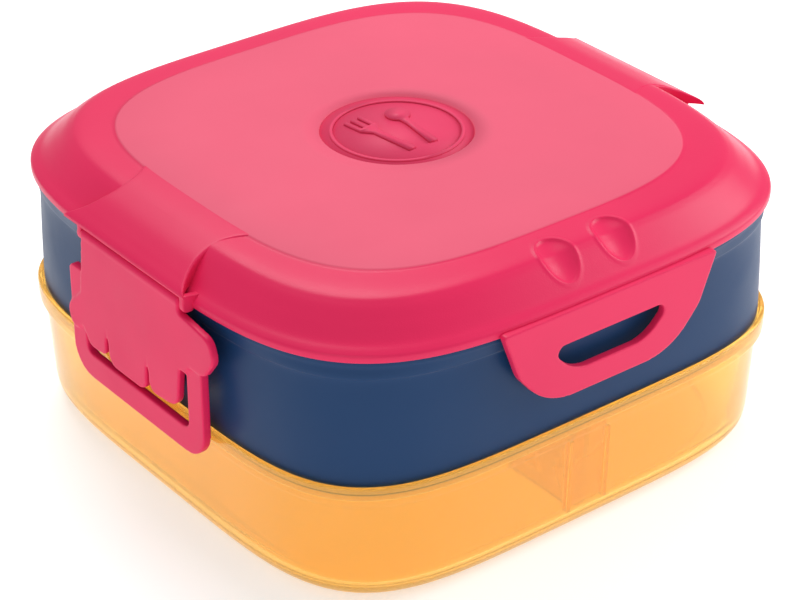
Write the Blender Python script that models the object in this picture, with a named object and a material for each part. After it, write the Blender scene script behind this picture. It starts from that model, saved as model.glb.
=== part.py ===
"""Two-tier bento lunch box with a pull-tab lid and two hand-shaped clips.

Frame: +X towards the right clip, -Y towards the lid's pull tab, +Z up, and the
foot stands on z = 0. Sizes are millimetres; MM turns them into metres.
An inset is a distance in from the lid's rim outline, so that walls that nest
are compared directly.
"""
import math

import bmesh
import bpy
from mathutils import Matrix, Vector

MM = 0.001

# ---- driving sizes ----------------------------------------------------------
WIDTH = 180.0           # lid rim, clip side to clip side
DEPTH = 181.2           # lid rim, front to back
SQUARENESS = 3.7        # exponent of the lid's rounded-square plan; 2 is an ellipse
BODY_SQUARENESS = 4.7   # the boxes below have tighter corners
SHOULDER_SQUARENESS = 4.1  # the middle box just under its flange
SIDES = 56              # points round each plan outline
GAP = 0.3               # between faces that touch on the real object
SLIDE_GAP = 0.4         # between walls that slide past each other

FOOT_HEIGHT = 0.8
FOOT_INSET = 12.2
FOOT_WIDTH = 2.0
BASE_FLOOR = 2.2
BASE_TOP = 39.9         # rim of the clear base box
BAND_HEIGHT = 6.0       # raised band round the base box's rim
BASE_WALL = 2.2
BAND_INSET = 2.6        # the band's outer face
BAND_STEP = 1.6         # the band stands this far out from the wall
BAND_RIM = 1.4          # thickness of the rim round the socket
BASE_DRAFT = 1.1        # the wall leans in by this much towards the bottom
# rounded bottoms: (further in than the wall, height above the floor), going up
BASE_ROUND = ((3.5, 1.0), (1.0, 3.5), (0.0, 7.2))
HOLLOW_ROUND = ((7.0, 0.0), (3.4, 1.0), (1.0, 3.2), (0.0, 6.8))
SOCKET_DEPTH = 4.2      # how far the middle box drops into the base box

MIDDLE_TOP = 77.2       # the middle box's flange, which carries the lid
MIDDLE_FLOOR = 2.2
MIDDLE_WALL = 2.1
FLANGE_INSET = 1.4
FLANGE_THICKNESS = 1.5
FLARE_HEIGHT = 7.7      # the wall spreads into the flange over this height
WALL_SPREAD = 1.1       # the wall leans out by this much towards the flange
LIP_HEIGHT = 1.0        # sealing lip above the flange
LIP_INSET = 3.3
LIP_WALL = 1.8
GROOVE_HEIGHT = 2.0     # seal groove round the middle box's plug
GROOVE_DEPTH = 1.3

LID_RISE = 13.0         # lid edge to the flat top
LID_WALL = 2.2
PLATEAU_SQUARENESS = 3.5
PLATEAU_INSET_X = 20.3
PLATEAU_INSET_Y = 21.2
RIM_WALL = 2.0
RIM_HEIGHT = 2.1        # upright edge of the lid's rim
SEAL_HEIGHT = 1.4
SKIRT_WALL = 1.8
SKIRT_DROP = 1.0        # the lid's inner skirt ends this far below its edge
BADGE_RADIUS = 22.3
BADGE_DEPTH = 0.8
DIMPLE_SPACING = 19.4   # two finger dimples on the front shoulder
DIMPLE_SIZE = (12.0, 15.6, 6.0)
DIMPLE_TILT = 34.0      # degrees, along the slope of the shoulder
DIMPLE_INSET = 10.6     # their middles, in from the rim
DIMPLE_ABOVE = 1.75     # the hollowing ellipsoid's middle, above the shoulder there

# shoulder from the flat top down to the rim: (inset, share of the lid's rise)
LID_SHOULDER = ((13.0, 0.915), (9.8, 0.808), (6.4, 0.57), (3.2, 0.323))
# hollow under the shoulder, going up: (further in than the skirt, share of the rise)
LID_HOLLOW = ((0.0, 0.415), (3.3, 0.638))

TAB_WIDTH = 75.0        # pull tab, widest under the rim
TAB_THICKNESS = 2.4
TAB_DROP = 24.8         # below the lid's edge
TAB_SLOT_WIDTH = 43.6
TAB_SLOT_HEIGHT = 9.0
TAB_SLOT_DROP = 8.5     # lid edge down to the slot's straight top
TAB_SHOULDER = (5.6, 11.6)  # where its sides turn in: (in from the side, above the bottom)
TAB_FOOT = 15.5         # where its bottom starts to round up, in from the side
TAB_SLOT_FOOT = 9.0     # the same for the slot

TONGUE_TIP = 2.8        # hinge tongue's reach beyond the rim
TONGUE_WALL = 1.0       # its thickness at the tip
# its back between the flat top and the tip: (in from the rim, below the flat top)
TONGUE_BACK = ((24.0, 0.1), (18.0, 0.35), (12.0, 1.3), (6.0, 3.4), (0.6, 6.3))
SCOOP_RADIUS = 16.5     # round hollow between a tongue and a corner
SCOOP_FROM_RIM = 11.0
SCOOP_Y = 38.2
HINGE_OUT = 1.3         # clip axis, beyond the rim
HINGE_UP = 1.3          # clip axis, above the lid's edge
BARREL_RADIUS = 1.95
BARREL_LENGTH = 47.0
BARREL_SHIFT = 3.0      # the barrel sits off centre, towards the thumb
TRUNNION_RADIUS = 1.0
TRUNNION_SIDES = 16
PALM_ROOM = 8.0         # cleared outward of the hinge axis for the swinging palm
CHEEK_THICKNESS = 2.0

PALM_THICKNESS = 2.25
LOOP_THICKNESS = 2.5
LOOP_SET_BACK = 0.55    # loop face behind the palm face
LOOP_LEFT = 28.8
LOOP_RIGHT = -35.5
LOOP_LEG = 7.0
BAR_HEIGHT = 7.8
BAR_ABOVE_RIM = 1.2     # top of the bar above the base box's rim
FINGERTIP_GAP = 2.0     # fingertips above the bar
FINGER_LIP_UP = 3.6     # top of the lips above the fingertips
FINGER_LIP_HEIGHT = 2.0
FINGER_LIPS = ((12.5, 16.0), (-6.5, 7.0), (-16.0, -13.0))  # their spans along the wall
LOOP_TOP_DROP = 12.0    # hinge axis down to the top of the loop's legs
CATCH_BELOW_RIM = 0.7
CATCH_WIDTH = 32.0
CATCH_REACH = 1.1       # catches stand this far in from the rim outline
CATCH_HEIGHT = 2.2

DIVIDER_X = 0.0
DIVIDER_WALL = 1.8
DIVIDER_END_WIDTH = 11.2
DIVIDER_END_WALL = 1.8
GUIDE_RIB = 1.2

POT_HALF = 31.0
POT_SQUARENESS = 4.5
POT_HEIGHT = 33.0
POT_WALL = 1.6
POT_CENTRE = (37.0, 37.0)
POT_LID_WALL = 1.6
POT_LID_SKIRT = 5.0
POT_LID_GRIP = 9.0

# ---- levels and places worked out from them ---------------------------------
HALF_X = WIDTH / 2
HALF_Y = DEPTH / 2
BASE_CAVITY_FLOOR = FOOT_HEIGHT + BASE_FLOOR
BAND_BOTTOM = BASE_TOP - BAND_HEIGHT
LEDGE = BASE_TOP - SOCKET_DEPTH
WALL_INSET = BAND_INSET + BAND_STEP
SOCKET_INSET = BAND_INSET + BAND_RIM
CAVITY_INSET = WALL_INSET + BASE_WALL
MIDDLE_BOTTOM = LEDGE + GAP
MIDDLE_CAVITY_FLOOR = MIDDLE_BOTTOM + MIDDLE_FLOOR
PLUG_INSET = SOCKET_INSET + SLIDE_GAP
GROOVE_BOTTOM = MIDDLE_BOTTOM + 0.9
LID_EDGE = MIDDLE_TOP + GAP
LID_TOP = LID_EDGE + LID_RISE
CHANNEL_ROOF = LID_EDGE + LIP_HEIGHT + SEAL_HEIGHT + GAP
SKIRT_INSET = LIP_INSET + LIP_WALL + SLIDE_GAP
TAB_FACE = HALF_Y - FLANGE_INSET + SLIDE_GAP + TAB_THICKNESS
HINGE_X = HALF_X + HINGE_OUT
HINGE_Z = LID_EDGE + HINGE_UP
PALM_FACE = BARREL_RADIUS - 0.1
BAR_TOP = BASE_TOP + BAR_ABOVE_RIM
CENTRE_SHIFT = (TAB_FACE - HALF_Y) / 2


# ---- helpers ----------------------------------------------------------------
def clear_scene():
    """Start from an empty scene."""
    for item in list(bpy.data.objects):
        bpy.data.objects.remove(item)


def collection(name):
    """A new collection linked to the scene."""
    group = bpy.data.collections.new(name)
    bpy.context.scene.collection.children.link(group)
    return group


def plastic(name, colour, roughness, transmission=0.0):
    """A moulded plastic."""
    material = bpy.data.materials.new(name)
    material.use_nodes = True
    shader = material.node_tree.nodes["Principled BSDF"]
    shader.inputs["Base Color"].default_value = (*colour, 1.0)
    shader.inputs["Roughness"].default_value = roughness
    shader.inputs["Metallic"].default_value = 0.0
    shader.inputs["Transmission Weight"].default_value = transmission
    return material


def add(name, bm, group, parent, material=None):
    """Turn a bmesh in millimetres into a named object."""
    bmesh.ops.recalc_face_normals(bm, faces=bm.faces)
    bmesh.ops.scale(bm, vec=(MM, MM, MM), verts=bm.verts)
    mesh = bpy.data.meshes.new(name)
    bm.to_mesh(mesh)
    bm.free()
    obj = bpy.data.objects.new(name, mesh)
    group.objects.link(obj)
    obj.parent = parent
    if material:
        mesh.materials.append(material)
        mesh.shade_smooth()
        mesh.set_sharp_from_angle(angle=math.radians(35))
    else:
        obj.hide_render = True
        obj.display_type = "WIRE"
    return obj


def squircle(half_x, half_y, squareness):
    """Points of a rounded-square plan, closest together at its corners."""
    points = []
    for step in range(SIDES):
        turn = 2 * math.pi * step / SIDES
        cosine = math.cos(turn)
        sine = math.sin(turn)
        across = math.copysign(abs(cosine) ** (2 / squareness), cosine)
        along = math.copysign(abs(sine) ** (2 / squareness), sine)
        points.append((half_x * across, half_y * along))
    return points


def inset_ring(inset, height, squareness=SQUARENESS):
    """The box's plan outline, drawn in by an inset at one height."""
    outline = squircle(HALF_X - inset, HALF_Y - inset, squareness)
    return [(x, y, height) for x, y in outline]


def loft(rings, closed=False):
    """Join unlike rings into one solid, capped at both ends unless closed."""
    bm = bmesh.new()
    loops = [[bm.verts.new(point) for point in ring] for ring in rings]
    pairs = list(zip(loops, loops[1:]))
    if closed:
        pairs.append((loops[-1], loops[0]))
    else:
        bm.faces.new(loops[0])
        bm.faces.new(loops[-1])
    for lower, upper in pairs:
        for i, corner in enumerate(lower):
            before = i - 1
            bm.faces.new((lower[before], corner, upper[i], upper[before]))
    return bm


def rounded(corners, steps=4):
    """A closed outline through (a, b, radius) corners, with its corners as arcs."""
    points = []
    for i, (a, b, radius) in enumerate(corners):
        here = Vector((a, b))
        if not radius:
            points.append(tuple(here))
            continue
        back = (Vector(corners[i - 1][:2]) - here).normalized()
        ahead = (Vector(corners[(i + 1) % len(corners)][:2]) - here).normalized()
        half_angle = back.angle(ahead) / 2
        centre = here + (back + ahead).normalized() * radius / math.sin(half_angle)
        reach = radius / math.tan(half_angle)
        start = here + back * reach - centre
        end = here + ahead * reach - centre
        first = math.atan2(start.y, start.x)
        sweep = math.atan2(start.cross(end), start.dot(end))
        for step in range(steps + 1):
            turn = first + sweep * step / steps
            points.append((centre.x + radius * math.cos(turn), centre.y + radius * math.sin(turn)))
    return points


def prism(outline, low, high, axis):
    """Extrude a flat outline along X (outline in y, z), Y (in x, z) or Z (in x, y)."""
    place = {
        "X": lambda a, b, c: (c, a, b),
        "Y": lambda a, b, c: (a, c, b),
        "Z": lambda a, b, c: (a, b, c),
    }[axis]
    bm = bmesh.new()
    face = bm.faces.new([bm.verts.new(place(a, b, low)) for a, b in outline])
    grown = bmesh.ops.extrude_face_region(bm, geom=[face])
    moved = [item for item in grown["geom"] if isinstance(item, bmesh.types.BMVert)]
    bmesh.ops.translate(bm, verts=moved, vec=place(0, 0, high - low))
    return bm


def block(x_range, y_range, z_range):
    """A box between three pairs of limits."""
    outline = [(x_range[i], y_range[j]) for i, j in ((0, 0), (1, 0), (1, 1), (0, 1))]
    return prism(outline, *z_range, "Z")


def rod(radius, length, centre, segments=20):
    """A cylinder along Y."""
    turns = [2 * math.pi * step / segments for step in range(segments)]
    outline = [(centre[0] + radius * math.cos(t), centre[2] + radius * math.sin(t)) for t in turns]
    return prism(outline, centre[1] - length / 2, centre[1] + length / 2, "Y")


def combine(body, operation, tools):
    """Boolean each tool into or out of a body."""
    for tool in tools:
        step = body.modifiers.new(tool.name, "BOOLEAN")
        step.operation = operation
        step.solver = "EXACT"
        step.object = tool


def settle(obj):
    """Apply an object's modifiers, so that its mesh can be shared."""
    bpy.context.view_layer.update()
    result = obj.evaluated_get(bpy.context.evaluated_depsgraph_get())
    mesh = bpy.data.meshes.new_from_object(result)
    obj.modifiers.clear()
    obj.data = mesh
    return obj


# ---- boxes ------------------------------------------------------------------
def base_cavity(clearance):
    """The base box's hollow below the ledge, drawn in by a clearance."""
    floor = BASE_CAVITY_FLOOR + clearance
    low = CAVITY_INSET + BASE_DRAFT + clearance
    rings = [inset_ring(low + inward, floor + up, BODY_SQUARENESS) for inward, up in HOLLOW_ROUND]
    return rings + [inset_ring(CAVITY_INSET + clearance, LEDGE, BODY_SQUARENESS)]


def make_base_box(parts, tools, root, material):
    """Clear shallow box: foot ring, rounded bottom, rim band with a socket for the tier above."""
    low = WALL_INSET + BASE_DRAFT
    outside = [
        inset_ring(FOOT_INSET + FOOT_WIDTH + 0.3, FOOT_HEIGHT, BODY_SQUARENESS),
        inset_ring(FOOT_INSET + FOOT_WIDTH, 0.0, BODY_SQUARENESS),
        inset_ring(FOOT_INSET, 0.0, BODY_SQUARENESS),
        *[inset_ring(low + inward, FOOT_HEIGHT + up, BODY_SQUARENESS) for inward, up in BASE_ROUND],
        inset_ring(WALL_INSET, BAND_BOTTOM - 0.4, BODY_SQUARENESS),
        inset_ring(BAND_INSET, BAND_BOTTOM + 0.4, BODY_SQUARENESS),
        inset_ring(BAND_INSET, BASE_TOP, BODY_SQUARENESS),
    ]
    socket = [
        inset_ring(SOCKET_INSET, BASE_TOP, BODY_SQUARENESS),
        inset_ring(SOCKET_INSET + 0.1, LEDGE, BODY_SQUARENESS),
    ]
    hollow = base_cavity(0.0)[::-1]
    body = add("base_box", loft(outside + socket + hollow), parts, root, material)

    extras = []
    rib_offset = DIVIDER_END_WIDTH / 2 + SLIDE_GAP + GUIDE_RIB / 2
    wall_y = HALF_Y - CAVITY_INSET
    for side in (-1, 1):
        for offset in (-rib_offset, rib_offset):
            middle = DIVIDER_X + offset
            span = sorted((side * (wall_y - 2.6), side * (wall_y + BASE_WALL / 3)))
            rib = block((middle - GUIDE_RIB / 2, middle + GUIDE_RIB / 2), span,
                        (BASE_CAVITY_FLOOR + 5.0, LEDGE - 4.0))
            extras.append(add("guide_rib", rib, tools, root))
        catch_x = sorted((side * (HALF_X - BAND_INSET - BAND_RIM / 2), side * (HALF_X - CATCH_REACH)))
        catch = block(catch_x, (-CATCH_WIDTH / 2, CATCH_WIDTH / 2),
                      (BASE_TOP - 0.7 - CATCH_HEIGHT, BASE_TOP - 0.7))
        extras.append(add("base_catch", catch, tools, root))
    combine(body, "UNION", extras)


def make_divider(parts, tools, root, material):
    """Lift-out wall with a flat foot at each end that lies on the base box's wall."""
    wall_y = HALF_Y - CAVITY_INSET
    level = (0.0, LEDGE - GAP)
    web = block((DIVIDER_X - DIVIDER_WALL / 2, DIVIDER_X + DIVIDER_WALL / 2), (-HALF_Y, HALF_Y), level)
    body = add("base_divider", web, parts, root, material)
    ends = []
    for side in (-1, 1):
        span = sorted((side * (wall_y - SLIDE_GAP - DIVIDER_END_WALL), side * HALF_Y))
        end = block((DIVIDER_X - DIVIDER_END_WIDTH / 2, DIVIDER_X + DIVIDER_END_WIDTH / 2), span,
                    (level[0] - 1.0, level[1] + 1.0))
        ends.append(add("divider_end", end, tools, root))
    combine(body, "UNION", ends)
    fit = base_cavity(SLIDE_GAP)
    fit[-1] = [(x, y, LEDGE - GAP) for x, y, _ in fit[-1]]
    combine(body, "INTERSECT", [add("divider_fit", loft(fit), tools, root)])


def make_middle_box(parts, tools, root, material):
    """Deep box: plug with a seal groove, tapered wall, flange and sealing lip."""
    groove_top = GROOVE_BOTTOM + GROOVE_HEIGHT
    flare = MIDDLE_TOP - FLARE_HEIGHT
    wall_low = PLUG_INSET
    wall_high = wall_low - WALL_SPREAD
    lip_inner = LIP_INSET + LIP_WALL
    groove_inset = PLUG_INSET + 0.3 + GROOVE_DEPTH
    outside = [
        inset_ring(PLUG_INSET + 0.8, MIDDLE_BOTTOM, BODY_SQUARENESS),
        inset_ring(PLUG_INSET + 0.3, GROOVE_BOTTOM, BODY_SQUARENESS),
        inset_ring(groove_inset, GROOVE_BOTTOM, BODY_SQUARENESS),
        inset_ring(groove_inset, groove_top, BODY_SQUARENESS),
        inset_ring(PLUG_INSET + 0.1, groove_top, BODY_SQUARENESS),
        inset_ring(wall_low, BASE_TOP, BODY_SQUARENESS),
        inset_ring(wall_high, flare, SHOULDER_SQUARENESS),
        inset_ring(wall_high - 0.4, flare + 2.5, SHOULDER_SQUARENESS),
        inset_ring(FLANGE_INSET, MIDDLE_TOP - FLANGE_THICKNESS),
        inset_ring(FLANGE_INSET, MIDDLE_TOP),
        inset_ring(LIP_INSET, MIDDLE_TOP),
        inset_ring(LIP_INSET, MIDDLE_TOP + LIP_HEIGHT),
    ]
    inside = [
        inset_ring(lip_inner, MIDDLE_TOP + LIP_HEIGHT),
        inset_ring(wall_high + MIDDLE_WALL, flare, SHOULDER_SQUARENESS),
        inset_ring(wall_low + MIDDLE_WALL + 0.2, BASE_TOP + 3.0, BODY_SQUARENESS),
        inset_ring(wall_low + MIDDLE_WALL + 1.4, MIDDLE_CAVITY_FLOOR + 2.2, BODY_SQUARENESS),
        inset_ring(wall_low + MIDDLE_WALL + 4.6, MIDDLE_CAVITY_FLOOR, BODY_SQUARENESS),
    ]
    body = add("middle_box", loft(outside + inside), parts, root, material)
    catches = []
    for side in (-1, 1):
        catch_x = sorted((side * (HALF_X - wall_low - MIDDLE_WALL / 2), side * (HALF_X - CATCH_REACH)))
        low = finger_lip_top() + SLIDE_GAP
        catch = block(catch_x, (-CATCH_WIDTH / 2, CATCH_WIDTH / 2), (low, low + CATCH_HEIGHT))
        catches.append(add("middle_catch", catch, tools, root))
    combine(body, "UNION", catches)


def make_seals(parts, root, material):
    """Soft rings: one in the plug's groove, one in the lid's channel."""
    groove_floor = PLUG_INSET + 0.3 + GROOVE_DEPTH
    outer = SOCKET_INSET + 0.1 + GAP
    low = GROOVE_BOTTOM + GAP
    high = GROOVE_BOTTOM + GROOVE_HEIGHT - GAP
    ring = [
        inset_ring(outer, low, BODY_SQUARENESS),
        inset_ring(outer, high, BODY_SQUARENESS),
        inset_ring(groove_floor - GAP, high, BODY_SQUARENESS),
        inset_ring(groove_floor - GAP, low, BODY_SQUARENESS),
    ]
    add("middle_box_seal", loft(ring, closed=True), parts, root, material)

    low = MIDDLE_TOP + LIP_HEIGHT + GAP
    high = CHANNEL_ROOF - GAP
    outer = RIM_WALL + GAP
    inner = SKIRT_INSET - GAP
    ring = [
        inset_ring(outer, low),
        inset_ring(outer, high),
        inset_ring(inner, high),
        inset_ring(inner, low),
    ]
    add("lid_seal", loft(ring, closed=True), parts, root, material)


# ---- snack pot --------------------------------------------------------------
def pot_ring(grow, height):
    """The snack pot's plan outline, grown outwards and placed in the middle box."""
    outline = squircle(POT_HALF + grow, POT_HALF + grow, POT_SQUARENESS)
    return [(x + POT_CENTRE[0], y + POT_CENTRE[1], height) for x, y in outline]


def make_snack_pot(parts, tools, root, material, lid_material):
    """Small tub that stands in the middle box, with a push-on cap."""
    floor = MIDDLE_CAVITY_FLOOR + GAP
    top = floor + POT_HEIGHT
    pot = [
        pot_ring(-4.0, floor),
        pot_ring(-1.4, floor + 2.0),
        pot_ring(0.0, top),
        pot_ring(-POT_WALL, top),
        pot_ring(-1.4 - POT_WALL, floor + 3.4),
        pot_ring(-4.5 - POT_WALL, floor + POT_WALL),
    ]
    add("snack_pot", loft(pot), parts, root, material)

    roof = top + GAP
    cap_top = roof + POT_LID_WALL
    skirt = SLIDE_GAP + POT_LID_WALL
    cap = [
        pot_ring(skirt - 2.2, cap_top),
        pot_ring(skirt, cap_top - 1.2),
        pot_ring(skirt, roof - POT_LID_SKIRT),
        pot_ring(SLIDE_GAP, roof - POT_LID_SKIRT),
        pot_ring(SLIDE_GAP, roof),
    ]
    body = add("snack_pot_lid", loft(cap), parts, root, lid_material)
    edge = POT_CENTRE[1] - POT_HALF - skirt
    grip = rounded([
        (POT_CENTRE[0] - POT_LID_GRIP, edge + 1.0, 0),
        (POT_CENTRE[0] - POT_LID_GRIP, edge - 5.0, 4.5),
        (POT_CENTRE[0] + POT_LID_GRIP, edge - 5.0, 4.5),
        (POT_CENTRE[0] + POT_LID_GRIP, edge + 1.0, 0),
    ])
    tab = prism(grip, roof - POT_LID_SKIRT + 0.4, roof - POT_LID_SKIRT + 2.0, "Z")
    combine(body, "UNION", [add("pot_grip", tab, tools, root)])


# ---- lid --------------------------------------------------------------------
def plateau_ring(grow, height):
    """The lid's flat top outline."""
    half_x = HALF_X - PLATEAU_INSET_X + grow
    half_y = HALF_Y - PLATEAU_INSET_Y + grow
    return [(x, y, height) for x, y in squircle(half_x, half_y, PLATEAU_SQUARENESS)]


def lid_shell():
    """Rim, hollow shoulder and flat top above; seal channel, skirt and roof below."""
    skirt_inner = SKIRT_INSET + SKIRT_WALL
    outside = [
        plateau_ring(0.0, LID_TOP),
        *[inset_ring(inset, LID_EDGE + share * LID_RISE) for inset, share in LID_SHOULDER],
        inset_ring(0.0, LID_EDGE + RIM_HEIGHT),
        inset_ring(0.0, LID_EDGE),
    ]
    inside = [
        inset_ring(RIM_WALL, LID_EDGE),
        inset_ring(RIM_WALL, CHANNEL_ROOF),
        inset_ring(SKIRT_INSET, CHANNEL_ROOF),
        inset_ring(SKIRT_INSET, LID_EDGE - SKIRT_DROP),
        inset_ring(skirt_inner, LID_EDGE - SKIRT_DROP),
        *[inset_ring(skirt_inner + inward, LID_EDGE + share * LID_RISE) for inward, share in LID_HOLLOW],
        plateau_ring(-1.5, LID_TOP - LID_WALL),
    ]
    return loft(outside + inside)


def tongue_profile():
    """Side view (x, z) of a hinge tongue: a convex back from the flat top to its tip."""
    tip = HALF_X + TONGUE_TIP
    underside = HINGE_Z + BARREL_RADIUS + SLIDE_GAP
    back = [(HALF_X - inward, LID_TOP - down) for inward, down in TONGUE_BACK]
    back += [(tip - 0.5, underside + TONGUE_WALL + 0.5), (tip, underside + TONGUE_WALL)]
    belly = [
        (tip, underside),
        (HALF_X - 3.0, underside - 0.1),
        (HALF_X - 6.0, LID_EDGE + 5.7),
        (HALF_X - 10.0, LID_EDGE + 9.4),
        (HALF_X - 18.0, LID_TOP - 1.2),
        (HALF_X - 24.0, LID_TOP - 1.1),
    ]
    return back + belly


def make_tongue(tools, root, side):
    """One hinge tongue with its two cheeks, on the side of the lid that side names."""
    tongue_outline = [(side * x, z) for x, z in tongue_profile()]
    body = add("tongue", prism(tongue_outline, -SCOOP_Y, SCOOP_Y, "Y"), tools, root)
    scoops = []
    for end in (-1, 1):
        centre = (side * (HALF_X - SCOOP_FROM_RIM), end * SCOOP_Y)
        turns = [2 * math.pi * step / 40 for step in range(40)]
        circle = [(centre[0] + SCOOP_RADIUS * math.cos(t), centre[1] + SCOOP_RADIUS * math.sin(t))
                  for t in turns]
        scoops.append(add("scoop", prism(circle, LID_EDGE - 5, LID_TOP + 5, "Z"), tools, root))
    combine(body, "DIFFERENCE", scoops)

    cheek_outline = rounded([
        (side * (HALF_X - 3.0), LID_EDGE + 3.4, 0),
        (side * (HINGE_X + 1.4), LID_EDGE + 4.4, 0.5),
        (side * (HINGE_X + 1.5), HINGE_Z - 2.1, 1.5),
        (side * (HINGE_X - 2.1), HINGE_Z - 2.1, 1.0),
        (side * (HALF_X - 0.8), LID_EDGE + 1.0, 0),
    ])
    inner = BARREL_LENGTH / 2 + GAP
    cheeks = []
    for end in (-1, 1):
        near = side * BARREL_SHIFT + end * inner
        span = sorted((near, near + end * CHEEK_THICKNESS))
        cheeks.append(add("cheek", prism(cheek_outline, *span, "Y"), tools, root))
    combine(body, "UNION", cheeks)
    return settle(body)


def pull_tab(tools, root):
    """Front tab: it hangs from the rim clear of the middle box, with a D-shaped slot."""
    bottom = LID_EDGE - TAB_DROP
    half = TAB_WIDTH / 2
    turn_in, turn_up = TAB_SHOULDER
    plate = rounded([
        (-half, LID_EDGE + 1.1, 0),
        (-half + turn_in, bottom + turn_up, 8.0),
        (-half + TAB_FOOT, bottom, 20.0),
        (half - TAB_FOOT, bottom, 20.0),
        (half - turn_in, bottom + turn_up, 8.0),
        (half, LID_EDGE + 1.1, 0),
    ], steps=6)
    body = add("pull_tab", prism(plate, -TAB_FACE, -TAB_FACE + TAB_THICKNESS, "Y"), tools, root)
    slot_top = LID_EDGE - TAB_SLOT_DROP
    slot_bottom = slot_top - TAB_SLOT_HEIGHT
    slot_half = TAB_SLOT_WIDTH / 2
    slot = rounded([
        (-slot_half, slot_top, 2.2),
        (-slot_half + TAB_SLOT_FOOT, slot_bottom, 12.0),
        (slot_half - TAB_SLOT_FOOT, slot_bottom, 12.0),
        (slot_half, slot_top, 2.2),
    ])
    opening = add("tab_slot", prism(slot, -TAB_FACE - 5, -TAB_FACE + 10, "Y"), tools, root)
    combine(body, "DIFFERENCE", [opening])
    return settle(body)


def make_lid(parts, tools, root, material):
    """Domed-edge lid with hinge tongues, pull tab, badge recess and finger dimples."""
    body = add("lid", lid_shell(), parts, root, material)
    tongues = [make_tongue(tools, root, side) for side in (-1, 1)]
    combine(body, "UNION", tongues + [pull_tab(tools, root)])

    cuts = []
    room = BARREL_RADIUS + GAP
    span = BARREL_LENGTH + 2 * GAP
    for side in (-1, 1):
        middle = side * BARREL_SHIFT
        centre = (side * HINGE_X, middle, HINGE_Z)
        cuts.append(add("barrel_room", rod(room, span, centre), tools, root))
        outward = sorted((side * (HINGE_X - room + 0.02), side * (HINGE_X + PALM_ROOM)))
        space = block(outward, (middle - span / 2, middle + span / 2), (LID_EDGE - 2.0, HINGE_Z + 0.2))
        cuts.append(add("palm_room", space, tools, root))
        bore = rod(TRUNNION_RADIUS + GAP, span + 2 * CHEEK_THICKNESS + 2.0, centre, TRUNNION_SIDES)
        cuts.append(add("trunnion_bore", bore, tools, root))
    turns = [2 * math.pi * step / 40 for step in range(40)]
    circle = [(BADGE_RADIUS * math.cos(t), BADGE_RADIUS * math.sin(t)) for t in turns]
    cuts.append(add("badge_recess", prism(circle, LID_TOP - BADGE_DEPTH, LID_TOP + 2, "Z"), tools, root))
    (inner, upper), (outer, lower) = LID_SHOULDER[:2]
    share = lower + (upper - lower) * (DIMPLE_INSET - outer) / (inner - outer)
    dimple_height = LID_EDGE + share * LID_RISE + DIMPLE_ABOVE
    for side in (-1, 1):
        dimple = bmesh.new()
        bmesh.ops.create_uvsphere(dimple, u_segments=16, v_segments=8, radius=0.5)
        bmesh.ops.scale(dimple, vec=DIMPLE_SIZE, verts=dimple.verts)
        tilt = Matrix.Rotation(math.radians(DIMPLE_TILT), 3, "X")
        bmesh.ops.rotate(dimple, matrix=tilt, verts=dimple.verts)
        place = (side * DIMPLE_SPACING / 2, DIMPLE_INSET - HALF_Y, dimple_height)
        bmesh.ops.translate(dimple, vec=place, verts=dimple.verts)
        cuts.append(add("finger_dimple", dimple, tools, root))
    combine(body, "DIFFERENCE", cuts)


# ---- clips ------------------------------------------------------------------
def fingertip():
    """Height of the fingertips, just above the loop's bar."""
    return BAR_TOP + FINGERTIP_GAP


def finger_lip_top():
    """Top of the lips behind the fingertips, which reach under the middle box's catch."""
    return fingertip() + FINGER_LIP_UP


def palm_outline():
    """Front view (y, z) of the hand: cuff at the hinge, thumb, palm and three fingers."""
    tip = fingertip()
    wrist = BARREL_LENGTH / 2 - BARREL_SHIFT
    thumb = -BARREL_LENGTH / 2 - BARREL_SHIFT
    top = HINGE_Z
    return rounded([
        (wrist, top, 0),
        (wrist + 2.2, top - 19.0, 3.0),
        (wrist + 9.6, top - 25.5, 4.0),
        (wrist + 8.0, top - 34.0, 3.0),
        (22.6, tip + 6.5, 0.5),
        (19.5, tip + 1.2, 3.4),
        (11.2, tip + 1.6, 2.4),
        (10.3, tip + 13.5, 0),
        (9.4, tip, 3.2),
        (-8.8, tip, 3.6),
        (-9.7, tip + 14.5, 0),
        (-10.6, tip + 1.2, 3.0),
        (-24.2, tip + 2.6, 5.0),
        (-26.0, tip + 15.5, 0.6),
        (-28.4, tip + 15.5, 0.4),
        (-31.0, top - 17.0, 1.5),
        (-37.5, top - 17.2, 3.4),
        (-42.6, top - 10.5, 4.4),
        (-40.5, top - 4.6, 4.2),
        (thumb, top - 2.6, 1.2),
        (thumb, top, 0),
    ])


def loop_outline(inset):
    """Front view of the loop, drawn in by an inset: 0 outside, a leg's width for the window."""
    bottom = BAR_TOP if inset else BAR_TOP - BAR_HEIGHT
    corner = 2.5 if inset else 8.5
    top = HINGE_Z - LOOP_TOP_DROP - inset * 0.7
    left = LOOP_LEFT - inset
    right = LOOP_RIGHT + inset
    return rounded([(left, top, 2.0), (left, bottom, corner), (right, bottom, corner), (right, top, 2.0)])


def lowered(outline):
    """Measure heights from the hinge axis."""
    return [(y, z - HINGE_Z) for y, z in outline]


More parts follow.
